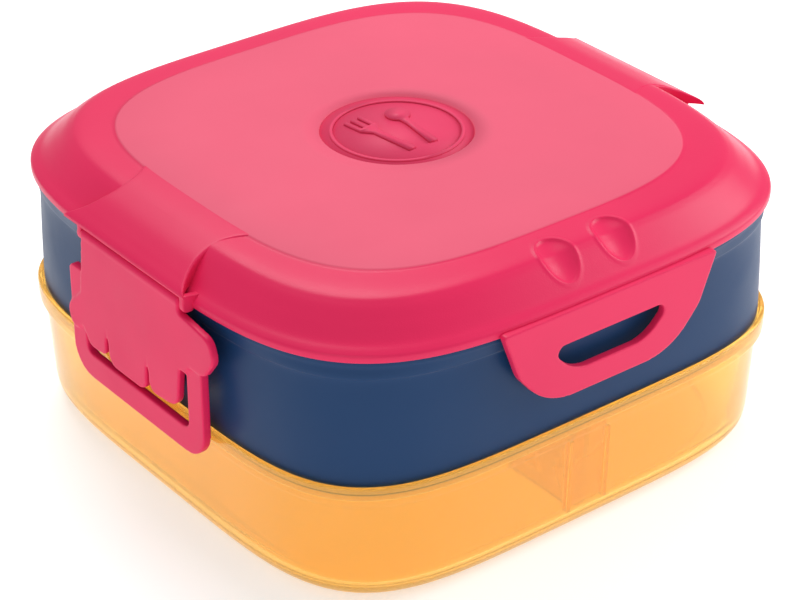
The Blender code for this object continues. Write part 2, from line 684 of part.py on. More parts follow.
def make_clip_body(parts, tools, hinge, material):
    """Hand-shaped clip: barrel and trunnions, palm and fingers, loop with its tooth."""
    palm = prism(lowered(palm_outline()), -PALM_FACE, -PALM_FACE + PALM_THICKNESS, "X")
    body = add("left_clip", palm, parts, hinge, material)
    loop_face = -PALM_FACE + LOOP_SET_BACK
    loop_back = loop_face + LOOP_THICKNESS
    loop = add("loop", prism(lowered(loop_outline(0.0)), loop_face, loop_back, "X"), tools, hinge)
    window = prism(lowered(loop_outline(LOOP_LEG)), loop_face - 2, loop_back + 2, "X")
    combine(loop, "DIFFERENCE", [add("loop_window", window, tools, hinge)])
    joined = [settle(loop)]
    middle = (0, -BARREL_SHIFT, 0)
    joined.append(add("barrel", rod(BARREL_RADIUS, BARREL_LENGTH, middle), tools, hinge))
    pin_length = BARREL_LENGTH + 2 * CHEEK_THICKNESS - 0.4
    joined.append(add("trunnions", rod(TRUNNION_RADIUS, pin_length, middle, TRUNNION_SIDES), tools, hinge))

    reach = HINGE_OUT + CATCH_REACH - GAP
    tooth_top = BASE_TOP - CATCH_BELOW_RIM - CATCH_HEIGHT - SLIDE_GAP - HINGE_Z
    tooth = block((loop_back - 1.0, reach), (-CATCH_WIDTH / 2, CATCH_WIDTH / 2), (tooth_top - CATCH_HEIGHT, tooth_top))
    joined.append(add("loop_tooth", tooth, tools, hinge))
    lip_top = finger_lip_top() - HINGE_Z
    for low_y, high_y in FINGER_LIPS:
        across = (-PALM_FACE + PALM_THICKNESS - 1.0, reach)
        lip = block(across, (low_y, high_y), (lip_top - FINGER_LIP_HEIGHT, lip_top))
        joined.append(add("finger_lip", lip, tools, hinge))
    combine(body, "UNION", joined)
    return settle(body)


def make_clips(parts, tools, root, material):
    """The same clip on both sides; the right one is turned half round."""
    hinges = []
    for name, side, turn in (("left_clip_hinge", -1, 0.0), ("right_clip_hinge", 1, math.pi)):
        hinge = bpy.data.objects.new(name, None)
        hinge.location = (side * HINGE_X * MM, 0.0, HINGE_Z * MM)
        hinge.rotation_euler.z = turn
        hinge.parent = root
        parts.objects.link(hinge)
        hinges.append(hinge)
    left = make_clip_body(parts, tools, hinges[0], material)
    left.data.shade_smooth()
    left.data.set_sharp_from_angle(angle=math.radians(35))
    right = left.copy()
    right.name = "right_clip"
    right.parent = hinges[1]
    parts.objects.link(right)


def main():
    """Build the lunch box."""
    clear_scene()
    parts = collection("bento_lunch_box")
    tools = collection("cutters")
    root = bpy.data.objects.new("lunch_box_frame", None)
    root.location.y = CENTRE_SHIFT * MM
    parts.objects.link(root)

    amber = plastic("clear_amber_plastic", (0.90, 0.42, 0.05), 0.18, transmission=0.6)
    clear = plastic("divider_plastic", (0.92, 0.50, 0.12), 0.25, transmission=0.6)
    navy = plastic("navy_plastic", (0.020, 0.050, 0.130), 0.35)
    pink = plastic("pink_plastic", (0.80, 0.045, 0.14), 0.38)
    clip_pink = plastic("clip_pink_plastic", (0.78, 0.04, 0.13), 0.36)
    pot_amber = plastic("pot_amber_plastic", (0.88, 0.40, 0.06), 0.30)
    pot_pink = plastic("pot_lid_pink_plastic", (0.80, 0.05, 0.15), 0.38)
    silicone = plastic("silicone", (0.75, 0.75, 0.72), 0.6)

    make_base_box(parts, tools, root, amber)
    make_divider(parts, tools, root, clear)
    make_middle_box(parts, tools, root, navy)
    make_seals(parts, root, silicone)
    make_snack_pot(parts, tools, root, pot_amber, pot_pink)
    make_lid(parts, tools, root, pink)
    make_clips(parts, tools, root, clip_pink)


main()
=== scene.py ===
# %% [markdown]
# # A two-tier bento lunch box
#
# The box on the table is a stack of mouldings: a clear amber base with a divider, a deep navy
# box that plugs into it, a small snack pot, and a pink lid held by two clips shaped like hands.
# This lesson builds the fine surfaces round a packed mechanical model, which already knows
# where every piece is and how it moves.  Blender works in metres and a mould maker in
# millimetres, so sizes are written in millimetres and multiplied by `MM` where a mesh is made.

# %% Load the mechanical frame
import math

import bmesh
import bpy
import numpy as np
from mathutils import Matrix, Vector


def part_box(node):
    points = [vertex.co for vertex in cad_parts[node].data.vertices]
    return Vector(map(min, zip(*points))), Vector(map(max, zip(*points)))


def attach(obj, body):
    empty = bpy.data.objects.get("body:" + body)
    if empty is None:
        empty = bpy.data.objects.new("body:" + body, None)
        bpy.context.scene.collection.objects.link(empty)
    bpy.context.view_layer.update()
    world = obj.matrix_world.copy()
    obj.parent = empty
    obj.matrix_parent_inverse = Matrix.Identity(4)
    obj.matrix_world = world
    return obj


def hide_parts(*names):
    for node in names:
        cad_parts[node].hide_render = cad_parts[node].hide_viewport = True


MM = 0.001
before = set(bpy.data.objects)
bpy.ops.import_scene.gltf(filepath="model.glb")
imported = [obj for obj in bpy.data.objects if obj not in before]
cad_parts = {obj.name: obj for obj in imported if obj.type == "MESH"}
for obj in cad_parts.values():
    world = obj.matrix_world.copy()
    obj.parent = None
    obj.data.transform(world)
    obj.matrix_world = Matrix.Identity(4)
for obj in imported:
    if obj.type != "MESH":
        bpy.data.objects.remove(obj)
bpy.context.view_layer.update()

# %% [markdown]
# ## Where things are
#
# The lid's rim is the outline that every nesting wall follows, so a wall's place is an
# *inset*: how far in from that rim it runs.  Levels come from the frame's own boxes, so they
# follow the mechanical model if it gets taller.

# %% Sizes and levels
HALF_X = 90.0                      # lid rim, half its width and half its depth
HALF_Y = 90.6
LID_RISE = 13.0                    # lid edge to the flat top
SQUARE_LID = 3.7                   # plan exponents: 2 is an ellipse, more is squarer
SQUARE_SHOULDER = 4.1
SQUARE_BODY = 4.7
SQUARE_TOP = 3.5
SQUARE_POT = 4.5
GAP = 0.3                          # between faces that touch on the real box
LIP_HEIGHT = 1.0                   # sealing lip above the navy box's flange
HINGE_OUT = 1.3                    # clip axis: out from the rim, and up from the lid's edge
HINGE_UP = 1.3


def level(node, top=True):
    """Height of a frame node's top or bottom, in millimetres."""
    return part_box(node)[1 if top else 0].z / MM


BASE_TOP = level("base_box")
MIDDLE_BOTTOM = level("middle_box", top=False)
MIDDLE_TOP = level("middle_box") - LIP_HEIGHT
LID_TOP = level("lid")
LID_EDGE = LID_TOP - LID_RISE
POT_BOTTOM = level("snack_pot", top=False)
POT_TOP = level("snack_pot")
CENTRE_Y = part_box("lid")[1].y / MM - HALF_Y
HINGE_X = HALF_X + HINGE_OUT
HINGE_Z = LID_EDGE + HINGE_UP
pot_low, pot_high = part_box("snack_pot")
POT_CENTRE = (pot_low + pot_high) / 2 / MM
POT_HALF = (pot_high.x - pot_low.x) / 2 / MM
print(f"base {BASE_TOP:.1f}, middle {MIDDLE_TOP:.1f}, lid top {LID_TOP:.1f} mm")

# %% [markdown]
# ## One rule for every wall
#
# All the tubs and the lid share one plan: a rounded square whose sides bulge a little, which
# is a *superellipse*.  In polar form its radius is `(|cos/a|^n + |sin/b|^n)^(-1/n)`.  So a
# tub is a profile swept round that rule, and Geometry Nodes is the natural tool: the profile's
# points carry their inset, height and squareness, and the tree lays a grid over them.
# Angles are even, so the points of neighbouring rings always face each other.

# %% Geometry Nodes: sweep a profile round a rounded square
class Wires:
    """Short ways to add nodes to a tree and join them up."""

    def __init__(self, tree):
        self.tree = tree

    def node(self, kind, inputs=None, **settings):
        new = self.tree.nodes.new(kind)
        for key, value in settings.items():
            setattr(new, key, value)
        for key, value in (inputs or {}).items():
            self.feed(new.inputs[key], value)
        return new

    def feed(self, socket, value):
        if isinstance(value, bpy.types.NodeSocket):
            self.tree.links.new(value, socket)
        else:
            socket.default_value = value

    def math(self, operation, *values):
        kind = self.node("ShaderNodeMath", operation=operation)
        for socket, value in zip(kind.inputs, values):
            self.feed(socket, value)
        return kind.outputs[0]


def rounded_square_tree():
    """Geometry Nodes: profile points in, closed wall out."""
    tree = bpy.data.node_groups.new("rounded_square_wall", "GeometryNodeTree")
    sockets = (("Profile", "Geometry"), ("Half Width", "Float"), ("Half Depth", "Float"),
               ("Centre", "Vector"), ("Sides", "Int"), ("Material", "Material"))
    for name, kind in sockets:
        tree.interface.new_socket(name=name, in_out="INPUT", socket_type=f"NodeSocket{kind}")
    tree.interface.new_socket(name="Wall", in_out="OUTPUT", socket_type="NodeSocketGeometry")
    wires = Wires(tree)
    given = wires.node("NodeGroupInput").outputs
    rows = wires.node("GeometryNodeAttributeDomainSize", {"Geometry": given["Profile"]})
    rows = rows.outputs["Point Count"]
    grid = wires.node("GeometryNodeMeshGrid", {
        "Vertices X": wires.math("ADD", given["Sides"], 1.0), "Vertices Y": rows})
    index = wires.node("GeometryNodeInputIndex").outputs[0]
    row = wires.math("FLOORED_MODULO", index, rows)
    step = wires.math("FLOOR", wires.math("DIVIDE", wires.math("ADD", index, 0.5), rows))
    angle = wires.math("DIVIDE", wires.math("MULTIPLY", step, 2 * math.pi), given["Sides"])

    def along_profile(value, kind):
        found = wires.node("GeometryNodeSampleIndex", data_type=kind, domain="POINT")
        wires.feed(found.inputs["Geometry"], given["Profile"])
        wires.feed(found.inputs["Value"], value)
        wires.feed(found.inputs["Index"], row)
        return found.outputs[0]

    def named(name):
        field = wires.node("GeometryNodeInputNamedAttribute", {"Name": name}, data_type="FLOAT")
        return along_profile(field.outputs["Attribute"], "FLOAT")

    place = wires.node("GeometryNodeInputPosition").outputs[0]
    inset = wires.node("ShaderNodeSeparateXYZ", {0: along_profile(place, "FLOAT_VECTOR")}).outputs
    half_x = wires.math("SUBTRACT", given["Half Width"], inset[0])
    half_y = wires.math("SUBTRACT", given["Half Depth"], inset[1])
    squareness = named("squareness")
    cosine = wires.math("COSINE", angle)
    sine = wires.math("SINE", angle)
    terms = [
        wires.math("POWER", wires.math("ABSOLUTE", wires.math("DIVIDE", part, half)), squareness)
        for part, half in ((cosine, half_x), (sine, half_y))]
    radius = wires.math("POWER", wires.math("ADD", *terms), wires.math("DIVIDE", -1.0, squareness))
    radius = wires.math("MULTIPLY", radius, named("shrink"))
    spot = wires.node("ShaderNodeCombineXYZ", {
        0: wires.math("MULTIPLY", radius, cosine), 1: wires.math("MULTIPLY", radius, sine),
        2: inset[2]})
    moved = wires.node("ShaderNodeVectorMath", {0: spot.outputs[0], 1: given["Centre"]})
    wall = wires.node("GeometryNodeSetPosition", {
        "Geometry": grid.outputs["Mesh"], "Position": moved.outputs[0]})
    kept = wires.node("GeometryNodeStoreNamedAttribute", {
        "Geometry": wall.outputs[0], "Name": "matte_and_highlight", "Value": named("matte_and_highlight")},
        data_type="FLOAT", domain="POINT")
    joined = wires.node("GeometryNodeMergeByDistance", {
        "Geometry": kept.outputs[0], "Distance": 0.004 * MM})
    real = wires.node("GeometryNodeRealizeInstances", {"Geometry": joined.outputs[0]})
    painted = wires.node("GeometryNodeSetMaterial", {
        "Geometry": real.outputs[0], "Material": given["Material"]})
    wires.node("NodeGroupOutput", {"Wall": painted.outputs[0]})
    return tree


wall_tree = rounded_square_tree()
print("wall tree:", len(wall_tree.nodes), "nodes")

# %% [markdown]
# ## Writing a profile
#
# A profile is a list of corners, read from the middle of the underside, out round the rim and
# back to the middle of the floor inside.  `spot` writes one corner.  `soften` turns each
# corner with a radius into a small curve, because no moulded edge is sharp, and `flow` runs a
# smooth curve through given points.  Every value of a corner, also its squareness, is
# blended in the same way, so the plan can change from round to square on the way up.

# %% Profile helpers
def spot(inset, height, square, radius=0.0, matte_and_highlight=0.0, shrink=1.0):
    """A profile corner: insets along x and y, height, squareness, shrink, matte top and highlight
    weight, and radius.
    """
    across, along = inset if isinstance(inset, tuple) else (inset, inset)
    return np.array([across, along, height, square, shrink, matte_and_highlight, radius])


def soften(corners, steps=5):
    """Replace each corner that has a radius by a short curve."""
    points = []
    for i, here in enumerate(corners):
        radius = here[6]
        if not radius or i in (0, len(corners) - 1):
            points.append(here)
            continue
        ends = []
        for other in (corners[i - 1], corners[i + 1]):
            gap = np.linalg.norm((other - here)[:3])
            ends.append(here + (other - here) * min(radius / gap, 0.49))
        for share in np.linspace(0, 1, steps + 1):
            points.append(ends[0] * (1 - share) ** 2 + here * 2 * share * (1 - share)
                          + ends[1] * share ** 2)
    return points


def flow(corners, steps=8):
    """A smooth curve through the corners."""
    padded = [2 * corners[0] - corners[1], *corners, 2 * corners[-1] - corners[-2]]
    points = [corners[0]]
    for a, b, c, d in zip(padded, padded[1:], padded[2:], padded[3:]):
        for share in np.linspace(0, 1, steps + 1)[1:]:
            points.append(0.5 * (2 * b + (c - a) * share + (2 * a - 5 * b + 4 * c - d) * share ** 2
                                 + (3 * b - a - 3 * c + d) * share ** 3))
    return points


def middle(height, square):
    """The profile's end, where the outline shrinks to a point."""
    return spot(20.0, height, square, shrink=0.0)


def clean(mesh):
    """Merge doubles and turn every face outwards."""
    bm = bmesh.new()
    bm.from_mesh(mesh)
    bmesh.ops.remove_doubles(bm, verts=bm.verts, dist=0.001 * MM)
    bmesh.ops.recalc_face_normals(bm, faces=bm.faces)
    bm.to_mesh(mesh)
    bm.free()
    mesh.shade_smooth()


def baked(obj, name):
    """Apply an object's modifiers and give back a plain object at the origin."""
    bpy.context.view_layer.update()
    ready = obj.evaluated_get(bpy.context.evaluated_depsgraph_get())
    mesh = bpy.data.meshes.new_from_object(ready)
    mesh.name = name
    bpy.data.objects.remove(obj)
    new = bpy.data.objects.new(name, mesh)
    bpy.context.scene.collection.objects.link(new)
    clean(mesh)
    return new


def swept_wall(name, profile, material, half=(HALF_X, HALF_Y), centre=(0.0, CENTRE_Y), sides=512):
    """Run the Geometry Nodes tree on a profile."""
    mesh = bpy.data.meshes.new(name)
    mesh.from_pydata([tuple(p[:3] * MM) for p in profile], [], [])
    for column, label in ((3, "squareness"), (4, "shrink"), (5, "matte_and_highlight")):
        values = mesh.attributes.new(label, "FLOAT", "POINT")
        values.data.foreach_set("value", [p[column] for p in profile])
    obj = bpy.data.objects.new(name, mesh)
    bpy.context.scene.collection.objects.link(obj)
    step = obj.modifiers.new("wall", "NODES")
    step.node_group = wall_tree
    values = {"Half Width": half[0] * MM, "Half Depth": half[1] * MM, "Sides": sides,
              "Centre": (centre[0] * MM, centre[1] * MM, 0.0), "Material": material}
    for socket in wall_tree.interface.items_tree:
        if socket.name in values:
            step[socket.identifier] = values[socket.name]
    done = baked(obj, name)
    print(f"{name}: {len(profile)} profile points, {len(done.data.polygons)} faces")
    return done


# %% [markdown]
# ## Plastics
#
# Moulded polypropylene is never one flat colour.  Pigment is stirred in, so the tone drifts a
# little over centimetres; the skin has a fine orange peel that breaks up reflections; and
# handling leaves faint differences in gloss.  One function makes all the opaque plastics from
# a colour, a roughness and the height of the grain.  The patterns use Object coordinates, so
# they stay put when a piece moves.

# %% A recipe for moulded plastic
PLASTIC_IOR = 1.49                 # how strongly polypropylene bends light


def linear(red, green, blue):
    """A colour in the 0 to 255 scale of a paint chart, made linear."""
    return tuple(((c / 255 + 0.055) / 1.055) ** 2.4 for c in (red, green, blue))


def start_material(name):
    """A new node material, with its shader and the coordinates its patterns use."""
    material = bpy.data.materials.new(name)
    material.use_nodes = True
    wires = Wires(material.node_tree)
    shader = material.node_tree.nodes["Principled BSDF"]
    place = wires.node("ShaderNodeTexCoord").outputs["Object"]
    return material, wires, shader, place


def drift(wires, place, scale, low, high):
    """A soft noise between two values."""
    noise = wires.node("ShaderNodeTexNoise", {"Vector": place, "Scale": scale, "Detail": 3.0})
    spread = wires.node("ShaderNodeMapRange", {
        "Value": noise.outputs["Fac"], "From Min": 0.3, "From Max": 0.7,
        "To Min": low, "To Max": high})
    return spread.outputs["Result"]


def skin(wires, place, fine, broad):
    """Bump of a moulded surface: fine grain of the tool's skin over a broad, shallow ripple."""
    grain = wires.node("ShaderNodeTexNoise", {"Vector": place, "Scale": 2600.0, "Detail": 2.0})
    ripple = wires.node("ShaderNodeTexNoise", {"Vector": place, "Scale": 190.0, "Detail": 2.0})
    low = wires.node("ShaderNodeBump", {
        "Height": ripple.outputs["Fac"], "Strength": broad, "Distance": 0.25 * MM})
    high = wires.node("ShaderNodeBump", {
        "Height": grain.outputs["Fac"], "Strength": fine, "Distance": 0.08 * MM,
        "Normal": low.outputs["Normal"]})
    return high.outputs["Normal"]


def moulded_plastic(name, colour, roughness, fine=0.25, broad=0.06):
    """Opaque moulded plastic."""
    material, wires, shader, place = start_material(name)
    tone = wires.node("ShaderNodeHueSaturation", {"Color": (*colour, 1.0)})
    wires.feed(tone.inputs["Value"], drift(wires, place, 22.0, 0.95, 1.05))
    wires.feed(shader.inputs["Base Color"], tone.outputs["Color"])
    gloss = drift(wires, place, 60.0, roughness - 0.04, roughness + 0.05)
    wires.feed(shader.inputs["Roughness"], gloss)
    wires.feed(shader.inputs["Normal"], skin(wires, place, fine, broad))
    shader.inputs["IOR"].default_value = PLASTIC_IOR
    shader.inputs["Specular IOR Level"].default_value = 0.2
    return material


PINK = linear(232, 40, 92)
# painted highlight: the flat top's paler pink stands for the light that falls on it from above
PAINTED_HIGHLIGHT_PINK = linear(232, 92, 120)
navy_plastic = moulded_plastic("navy_plastic_fine", linear(22, 58, 100), 0.4)
clip_plastic = moulded_plastic("clip_pink_plastic_fine", linear(234, 34, 92), 0.38)
badge_plastic = moulded_plastic("badge_plastic_fine", linear(228, 64, 104), 0.46, fine=0.4)
pot_plastic = moulded_plastic("pot_plastic_fine", linear(246, 165, 60), 0.34)
cap_plastic = moulded_plastic("cap_pink_plastic_fine", PINK, 0.4)
silicone = moulded_plastic("silicone_fine", linear(226, 224, 218), 0.55, fine=0.1, broad=0.02)
print("opaque plastics:", len(bpy.data.materials))

# %% [markdown]
# The lid is one moulding with two finishes from the same tool: a fine matte texture on the flat
# top and a smoother shoulder in a deeper pink.  The flat top's paler pink is a painted highlight,
# for the light that falls on it from above.  The profile carries both as one value, 1 on the flat
# and 0 on the shoulder, so one material can read it and blend roughness and colour.

# %% Lid plastic: two finishes, and a painted highlight on the flat top
def lid_plastic_with_painted_highlight():
    """One plastic that goes from smooth to matte, and from PINK to a paler painted highlight, as
    the profile's value goes from 0 to 1.
    """
    material, wires, shader, place = start_material("lid_pink_plastic_fine")
    matte_and_highlight = wires.node("ShaderNodeAttribute", attribute_name="matte_and_highlight").outputs["Fac"]
    # the mix paints the highlight: PINK on the shoulder, the paler pink on the flat top
    top_highlight_mix = wires.node("ShaderNodeMix", data_type="RGBA")
    wires.feed(top_highlight_mix.inputs["Factor"], matte_and_highlight)
    wires.feed(top_highlight_mix.inputs[6], (*PINK, 1.0))
    wires.feed(top_highlight_mix.inputs[7], (*PAINTED_HIGHLIGHT_PINK, 1.0))
    tone = wires.node("ShaderNodeHueSaturation", {"Color": top_highlight_mix.outputs[2]})
    wires.feed(tone.inputs["Value"], drift(wires, place, 18.0, 0.965, 1.035))
    wires.feed(shader.inputs["Base Color"], tone.outputs["Color"])
    rough = wires.math("MULTIPLY_ADD", matte_and_highlight, 0.24, drift(wires, place, 55.0, 0.31, 0.37))
    wires.feed(shader.inputs["Roughness"], rough)
    wires.feed(shader.inputs["Normal"], skin(wires, place, 0.35, 0.05))
    shader.inputs["IOR"].default_value = PLASTIC_IOR
    shader.inputs["Specular IOR Level"].default_value = 0.25
    return material


lid_plastic = lid_plastic_with_painted_highlight()
print("lid plastic:", len(lid_plastic.node_tree.nodes), "nodes")

# %% [markdown]
# The base is tinted, clear plastic.  Light goes in, picks up the tint and comes out softened,
# and it picks up more where it crosses more plastic, at the rim and along the foot.  The shader
# mixes transmission with a little of its own colour, for the haze in clear polypropylene, and a
# faint glow of the tint stands for the light that is led along inside the walls.

# %% Clear amber plastic
def clear_amber(name, colour, through, haze):
    """Tinted clear plastic: how much light goes through, and how much that is blurred."""
    material, wires, shader, place = start_material(name)
    tone = wires.node("ShaderNodeHueSaturation", {"Color": (*colour, 1.0)})
    wires.feed(tone.inputs["Value"], drift(wires, place, 16.0, 0.97, 1.03))
    wires.feed(shader.inputs["Base Color"], tone.outputs["Color"])
    wires.feed(shader.inputs["Roughness"], drift(wires, place, 40.0, haze - 0.03, haze + 0.05))
    wires.feed(shader.inputs["Normal"], skin(wires, place, 0.08, 0.05))
    shader.inputs["IOR"].default_value = 1.45
    shader.inputs["Transmission Weight"].default_value = through
    shader.inputs["Specular IOR Level"].default_value = 0.3
    shader.inputs["Emission Color"].default_value = (*colour, 1.0)
    shader.inputs["Emission Strength"].default_value = 0.09
    return material


amber_plastic = clear_amber("clear_amber_fine", linear(255, 208, 112), 0.88, 0.09)
divider_plastic = clear_amber("divider_amber_fine", linear(255, 208, 120), 0.7, 0.25)
print("materials:", len(bpy.data.materials))

# %% [markdown]
# ## Solid parts with a soft edge
#
# Ribs, catches, tabs and the clips are flat shapes with rounded corners.  `rounded` draws an
# outline from corners with radii, and `slab` gives it a thickness, with Blender's own filled
# 2D curve, which takes holes without any extra work.

# %% Outlines and slabs
def rounded(corners, steps=7):
    """A closed outline through (a, b, radius) corners, with its corners as arcs."""
    points = []
    for i, (a, b, radius) in enumerate(corners):
        here = Vector((a, b))
        if not radius:
            points.append((a, b))
            continue
        back = (Vector(corners[i - 1][:2]) - here).normalized()
        ahead = (Vector(corners[(i + 1) % len(corners)][:2]) - here).normalized()
        half_angle = back.angle(ahead) / 2
        centre = here + (back + ahead).normalized() * radius / math.sin(half_angle)
        start = here + back * radius / math.tan(half_angle) - centre
        end = here + ahead * radius / math.tan(half_angle) - centre
        sweep = math.atan2(start.cross(end), start.dot(end))
        for step in range(steps + 1):
            arm = Matrix.Rotation(sweep * step / steps, 2) @ start
            points.append(tuple(centre + arm))
    return points


AXES = {"X": lambda a, b, c: (c, a, b),
        "Y": lambda a, b, c: (a, c, b),
        "Z": lambda a, b, c: (a, b, c)}


def slab(outline, low, high, axis, holes=()):
    """A flat solid along X (outline in y, z), Y (in x, z) or Z (in x, y), with holes."""
    curve = bpy.data.curves.new("slab", "CURVE")
    curve.dimensions = "2D"
    curve.fill_mode = "BOTH"
    curve.extrude = (high - low) / 2 * MM
    for loop in (outline, *holes):
        line = curve.splines.new("POLY")
        line.points.add(len(loop) - 1)
        for point, (a, b) in zip(line.points, loop):
            point.co = (a * MM, b * MM, 0.0, 1.0)
        line.use_cyclic_u = True
    obj = bpy.data.objects.new("slab", curve)
    bpy.context.scene.collection.objects.link(obj)
    lay = AXES[axis]
    columns = [Vector(lay(1, 0, 0)), Vector(lay(0, 1, 0)), Vector(lay(0, 0, 1))]
    turn = Matrix(columns).transposed().to_4x4()
    shift = Matrix.Translation(Vector(lay(0, 0, (low + high) / 2)) * MM)
    solid = baked(obj, "slab")
    solid.data.transform(shift @ turn)
    if turn.determinant() < 0:
        solid.data.flip_normals()
    return solid


print("a slab can lie along", ", ".join(AXES))

# %% [markdown]
# Bars and round pins are slabs too.  `join` puts pieces in one object as separate shells, and
# `moulded` melts overlapping ones into one skin: a voxel remesh welds them, and smoothing rounds
# each edge and fillets each inner corner, as the steel of a real mould does.  `fasten` says
# what a finished piece moves with, and which nodes of the frame it stands for.

# %% Bars, pins, welding and fastening
def bar(x_range, y_range, z_range):
    """A plain block between limits."""
    corners = [(x_range[i], y_range[j]) for i, j in ((0, 0), (1, 0), (1, 1), (0, 1))]
    return slab(corners, *z_range, "Z")


def pin(radius, length, centre, sides=48):
    """A round bar along Y."""
    turns = [2 * math.pi * step / sides for step in range(sides)]
    circle = [(centre[0] + radius * math.cos(t), centre[2] + radius * math.sin(t)) for t in turns]
    return slab(circle, centre[1] - length / 2, centre[1] + length / 2, "Y")


def join(name, pieces):
    """Several meshes as one object, still separate shells."""
    bm = bmesh.new()
    for piece in pieces:
        bm.from_mesh(piece.data)
        bpy.data.objects.remove(piece)
    mesh = bpy.data.meshes.new(name)
    bm.to_mesh(mesh)
    bm.free()
    obj = bpy.data.objects.new(name, mesh)
    bpy.context.scene.collection.objects.link(obj)
    mesh.shade_smooth()
    return obj


def moulded(name, pieces, voxel, passes, material):
    """Weld overlapping solids into one skin with soft edges."""
    obj = join(name, pieces)
    weld = obj.modifiers.new("weld", "REMESH")
    weld.mode = "VOXEL"
    weld.voxel_size = voxel * MM
    soft = obj.modifiers.new("soft", "SMOOTH")
    soft.factor = 0.5
    soft.iterations = passes
    return paint(baked(obj, name), material)


def paint(obj, material):
    """Give a piece one material."""
    obj.data.materials.clear()
    obj.data.materials.append(material)
    return obj


def fasten(obj, body, slot_name, *nodes):
    """Ride and replace in one go; slot_name is not used."""
    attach(obj, body)
    if nodes:
        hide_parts(*nodes)


print("welding and fastening helpers are ready")

# %% [markdown]
# ## The clear base
#
# A shallow tub on a thin foot ring.  The bottom rounds up into an almost upright wall, and a
# raised band stiffens the rim.  Inside the band is a step: the box above drops into it.
# Outside and inside run as one profile, so the wall has its true thickness, and clear
# plastic needs that to bend light.

# %% Base box
WALL_IN = 4.2                      # insets of the wall's outside and inside at the top
CAVITY_IN = 6.4
DRAFT = 1.1                        # the wall leans in by this much towards the bottom
LEDGE = BASE_TOP - 4.2             # the step that the navy box stands on
BAND_LOW = BASE_TOP - 6.0
FLOOR = 3.0
FOOT = 0.8                         # the foot ring is this tall
low_wall = WALL_IN + DRAFT
low_cavity = CAVITY_IN + DRAFT

outside = [middle(FOOT, SQUARE_BODY), spot(14.6, FOOT, SQUARE_BODY, 0.3),
           spot(14.2, 0.0, SQUARE_BODY, 0.3), spot(12.2, 0.0, SQUARE_BODY, 0.5)]
outside += flow([spot(low_wall + 4.6, 1.2, SQUARE_BODY), spot(low_wall + 2.0, 2.9, SQUARE_BODY),
                 spot(low_wall + 0.55, 5.3, SQUARE_BODY), spot(low_wall, 8.6, SQUARE_BODY)])
outside += [spot(WALL_IN, BAND_LOW - 0.5, SQUARE_BODY, 0.5),
            spot(2.75, BAND_LOW + 0.3, SQUARE_BODY, 0.5),
            spot(2.6, BAND_LOW + 3.0, SQUARE_BODY, 1.5),
            spot(2.7, BASE_TOP, SQUARE_BODY, 0.7), spot(4.0, BASE_TOP, SQUARE_BODY, 0.5)]
inside = [spot(4.1, LEDGE, SQUARE_BODY, 0.4), spot(CAVITY_IN, LEDGE, SQUARE_BODY, 0.6)]
inside += flow([spot(low_cavity, FLOOR + 6.8, SQUARE_BODY),
                spot(low_cavity + 1.0, FLOOR + 3.2, SQUARE_BODY),
                spot(low_cavity + 3.4, FLOOR + 1.0, SQUARE_BODY),
                spot(low_cavity + 7.0, FLOOR, SQUARE_BODY)])
inside += [middle(FLOOR, SQUARE_BODY)]
base_shell = swept_wall("base_shell", soften(outside + inside), amber_plastic)

# %% [markdown]
# Four ribs guide the divider's ends, and a catch on either side of the rim holds a clip's tooth.
# The divider itself keeps the frame's own mesh and only gets a new material.

# %% Guide ribs, catches and divider
RIB_AT = 6.6                       # rib middles, either side of the divider
RIB_HALF = 0.6
CATCH_HALF = 16.0                  # half the length of every catch
CATCH_IN = 1.1                     # catches stand this far in from the rim


def base_trim():
    """Guide ribs for the divider and the catches under the clips' teeth."""
    parts = []
    wall_y = HALF_Y - CAVITY_IN
    for side in (-1, 1):
        for offset in (-RIB_AT, RIB_AT):
            span = sorted((CENTRE_Y + side * (wall_y - 2.6), CENTRE_Y + side * (wall_y + 0.7)))
            width = (offset - RIB_HALF, offset + RIB_HALF)
            parts.append(bar(width, span, (FLOOR + 5.0, LEDGE - 4.0)))
        reach = sorted((side * (HALF_X - 3.2), side * (HALF_X - CATCH_IN)))
        along = (CENTRE_Y - CATCH_HALF, CENTRE_Y + CATCH_HALF)
        parts.append(bar(reach, along, (BASE_TOP - 2.9, BASE_TOP - 0.7)))
    return moulded("base_ribs_and_catches", parts, 0.3, 3, amber_plastic)


fasten(base_shell, "base", "clear_amber_plastic", "base_box")
fasten(base_trim(), "base", "clear_amber_plastic")

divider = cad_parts["base_divider"]
for slot_index in range(len(divider.data.materials)):
    divider.data.materials[slot_index] = divider_plastic
print("divider:", len(divider.data.materials), "material slot")

# %% [markdown]
# ## The navy box
#
# The deep tier has a plug that drops into the base with a rubber ring in its groove, a wall
# that leans out and gets rounder as it rises, and a flange whose upright lip presses the lid's
# seal.  It is one profile again, from the plug's underside over the flange to the floor inside.

# %% Middle box
GROOVE_LOW = MIDDLE_BOTTOM + 0.9
GROOVE_HIGH = GROOVE_LOW + 2.0
PLUG_IN = 4.4
FLANGE_IN = 1.4
LIP_IN = 3.3
LIP_INNER = 5.1
FLARE = MIDDLE_TOP - 7.7           # the wall spreads into the flange from here up
MIDDLE_FLOOR = MIDDLE_BOTTOM + 2.2

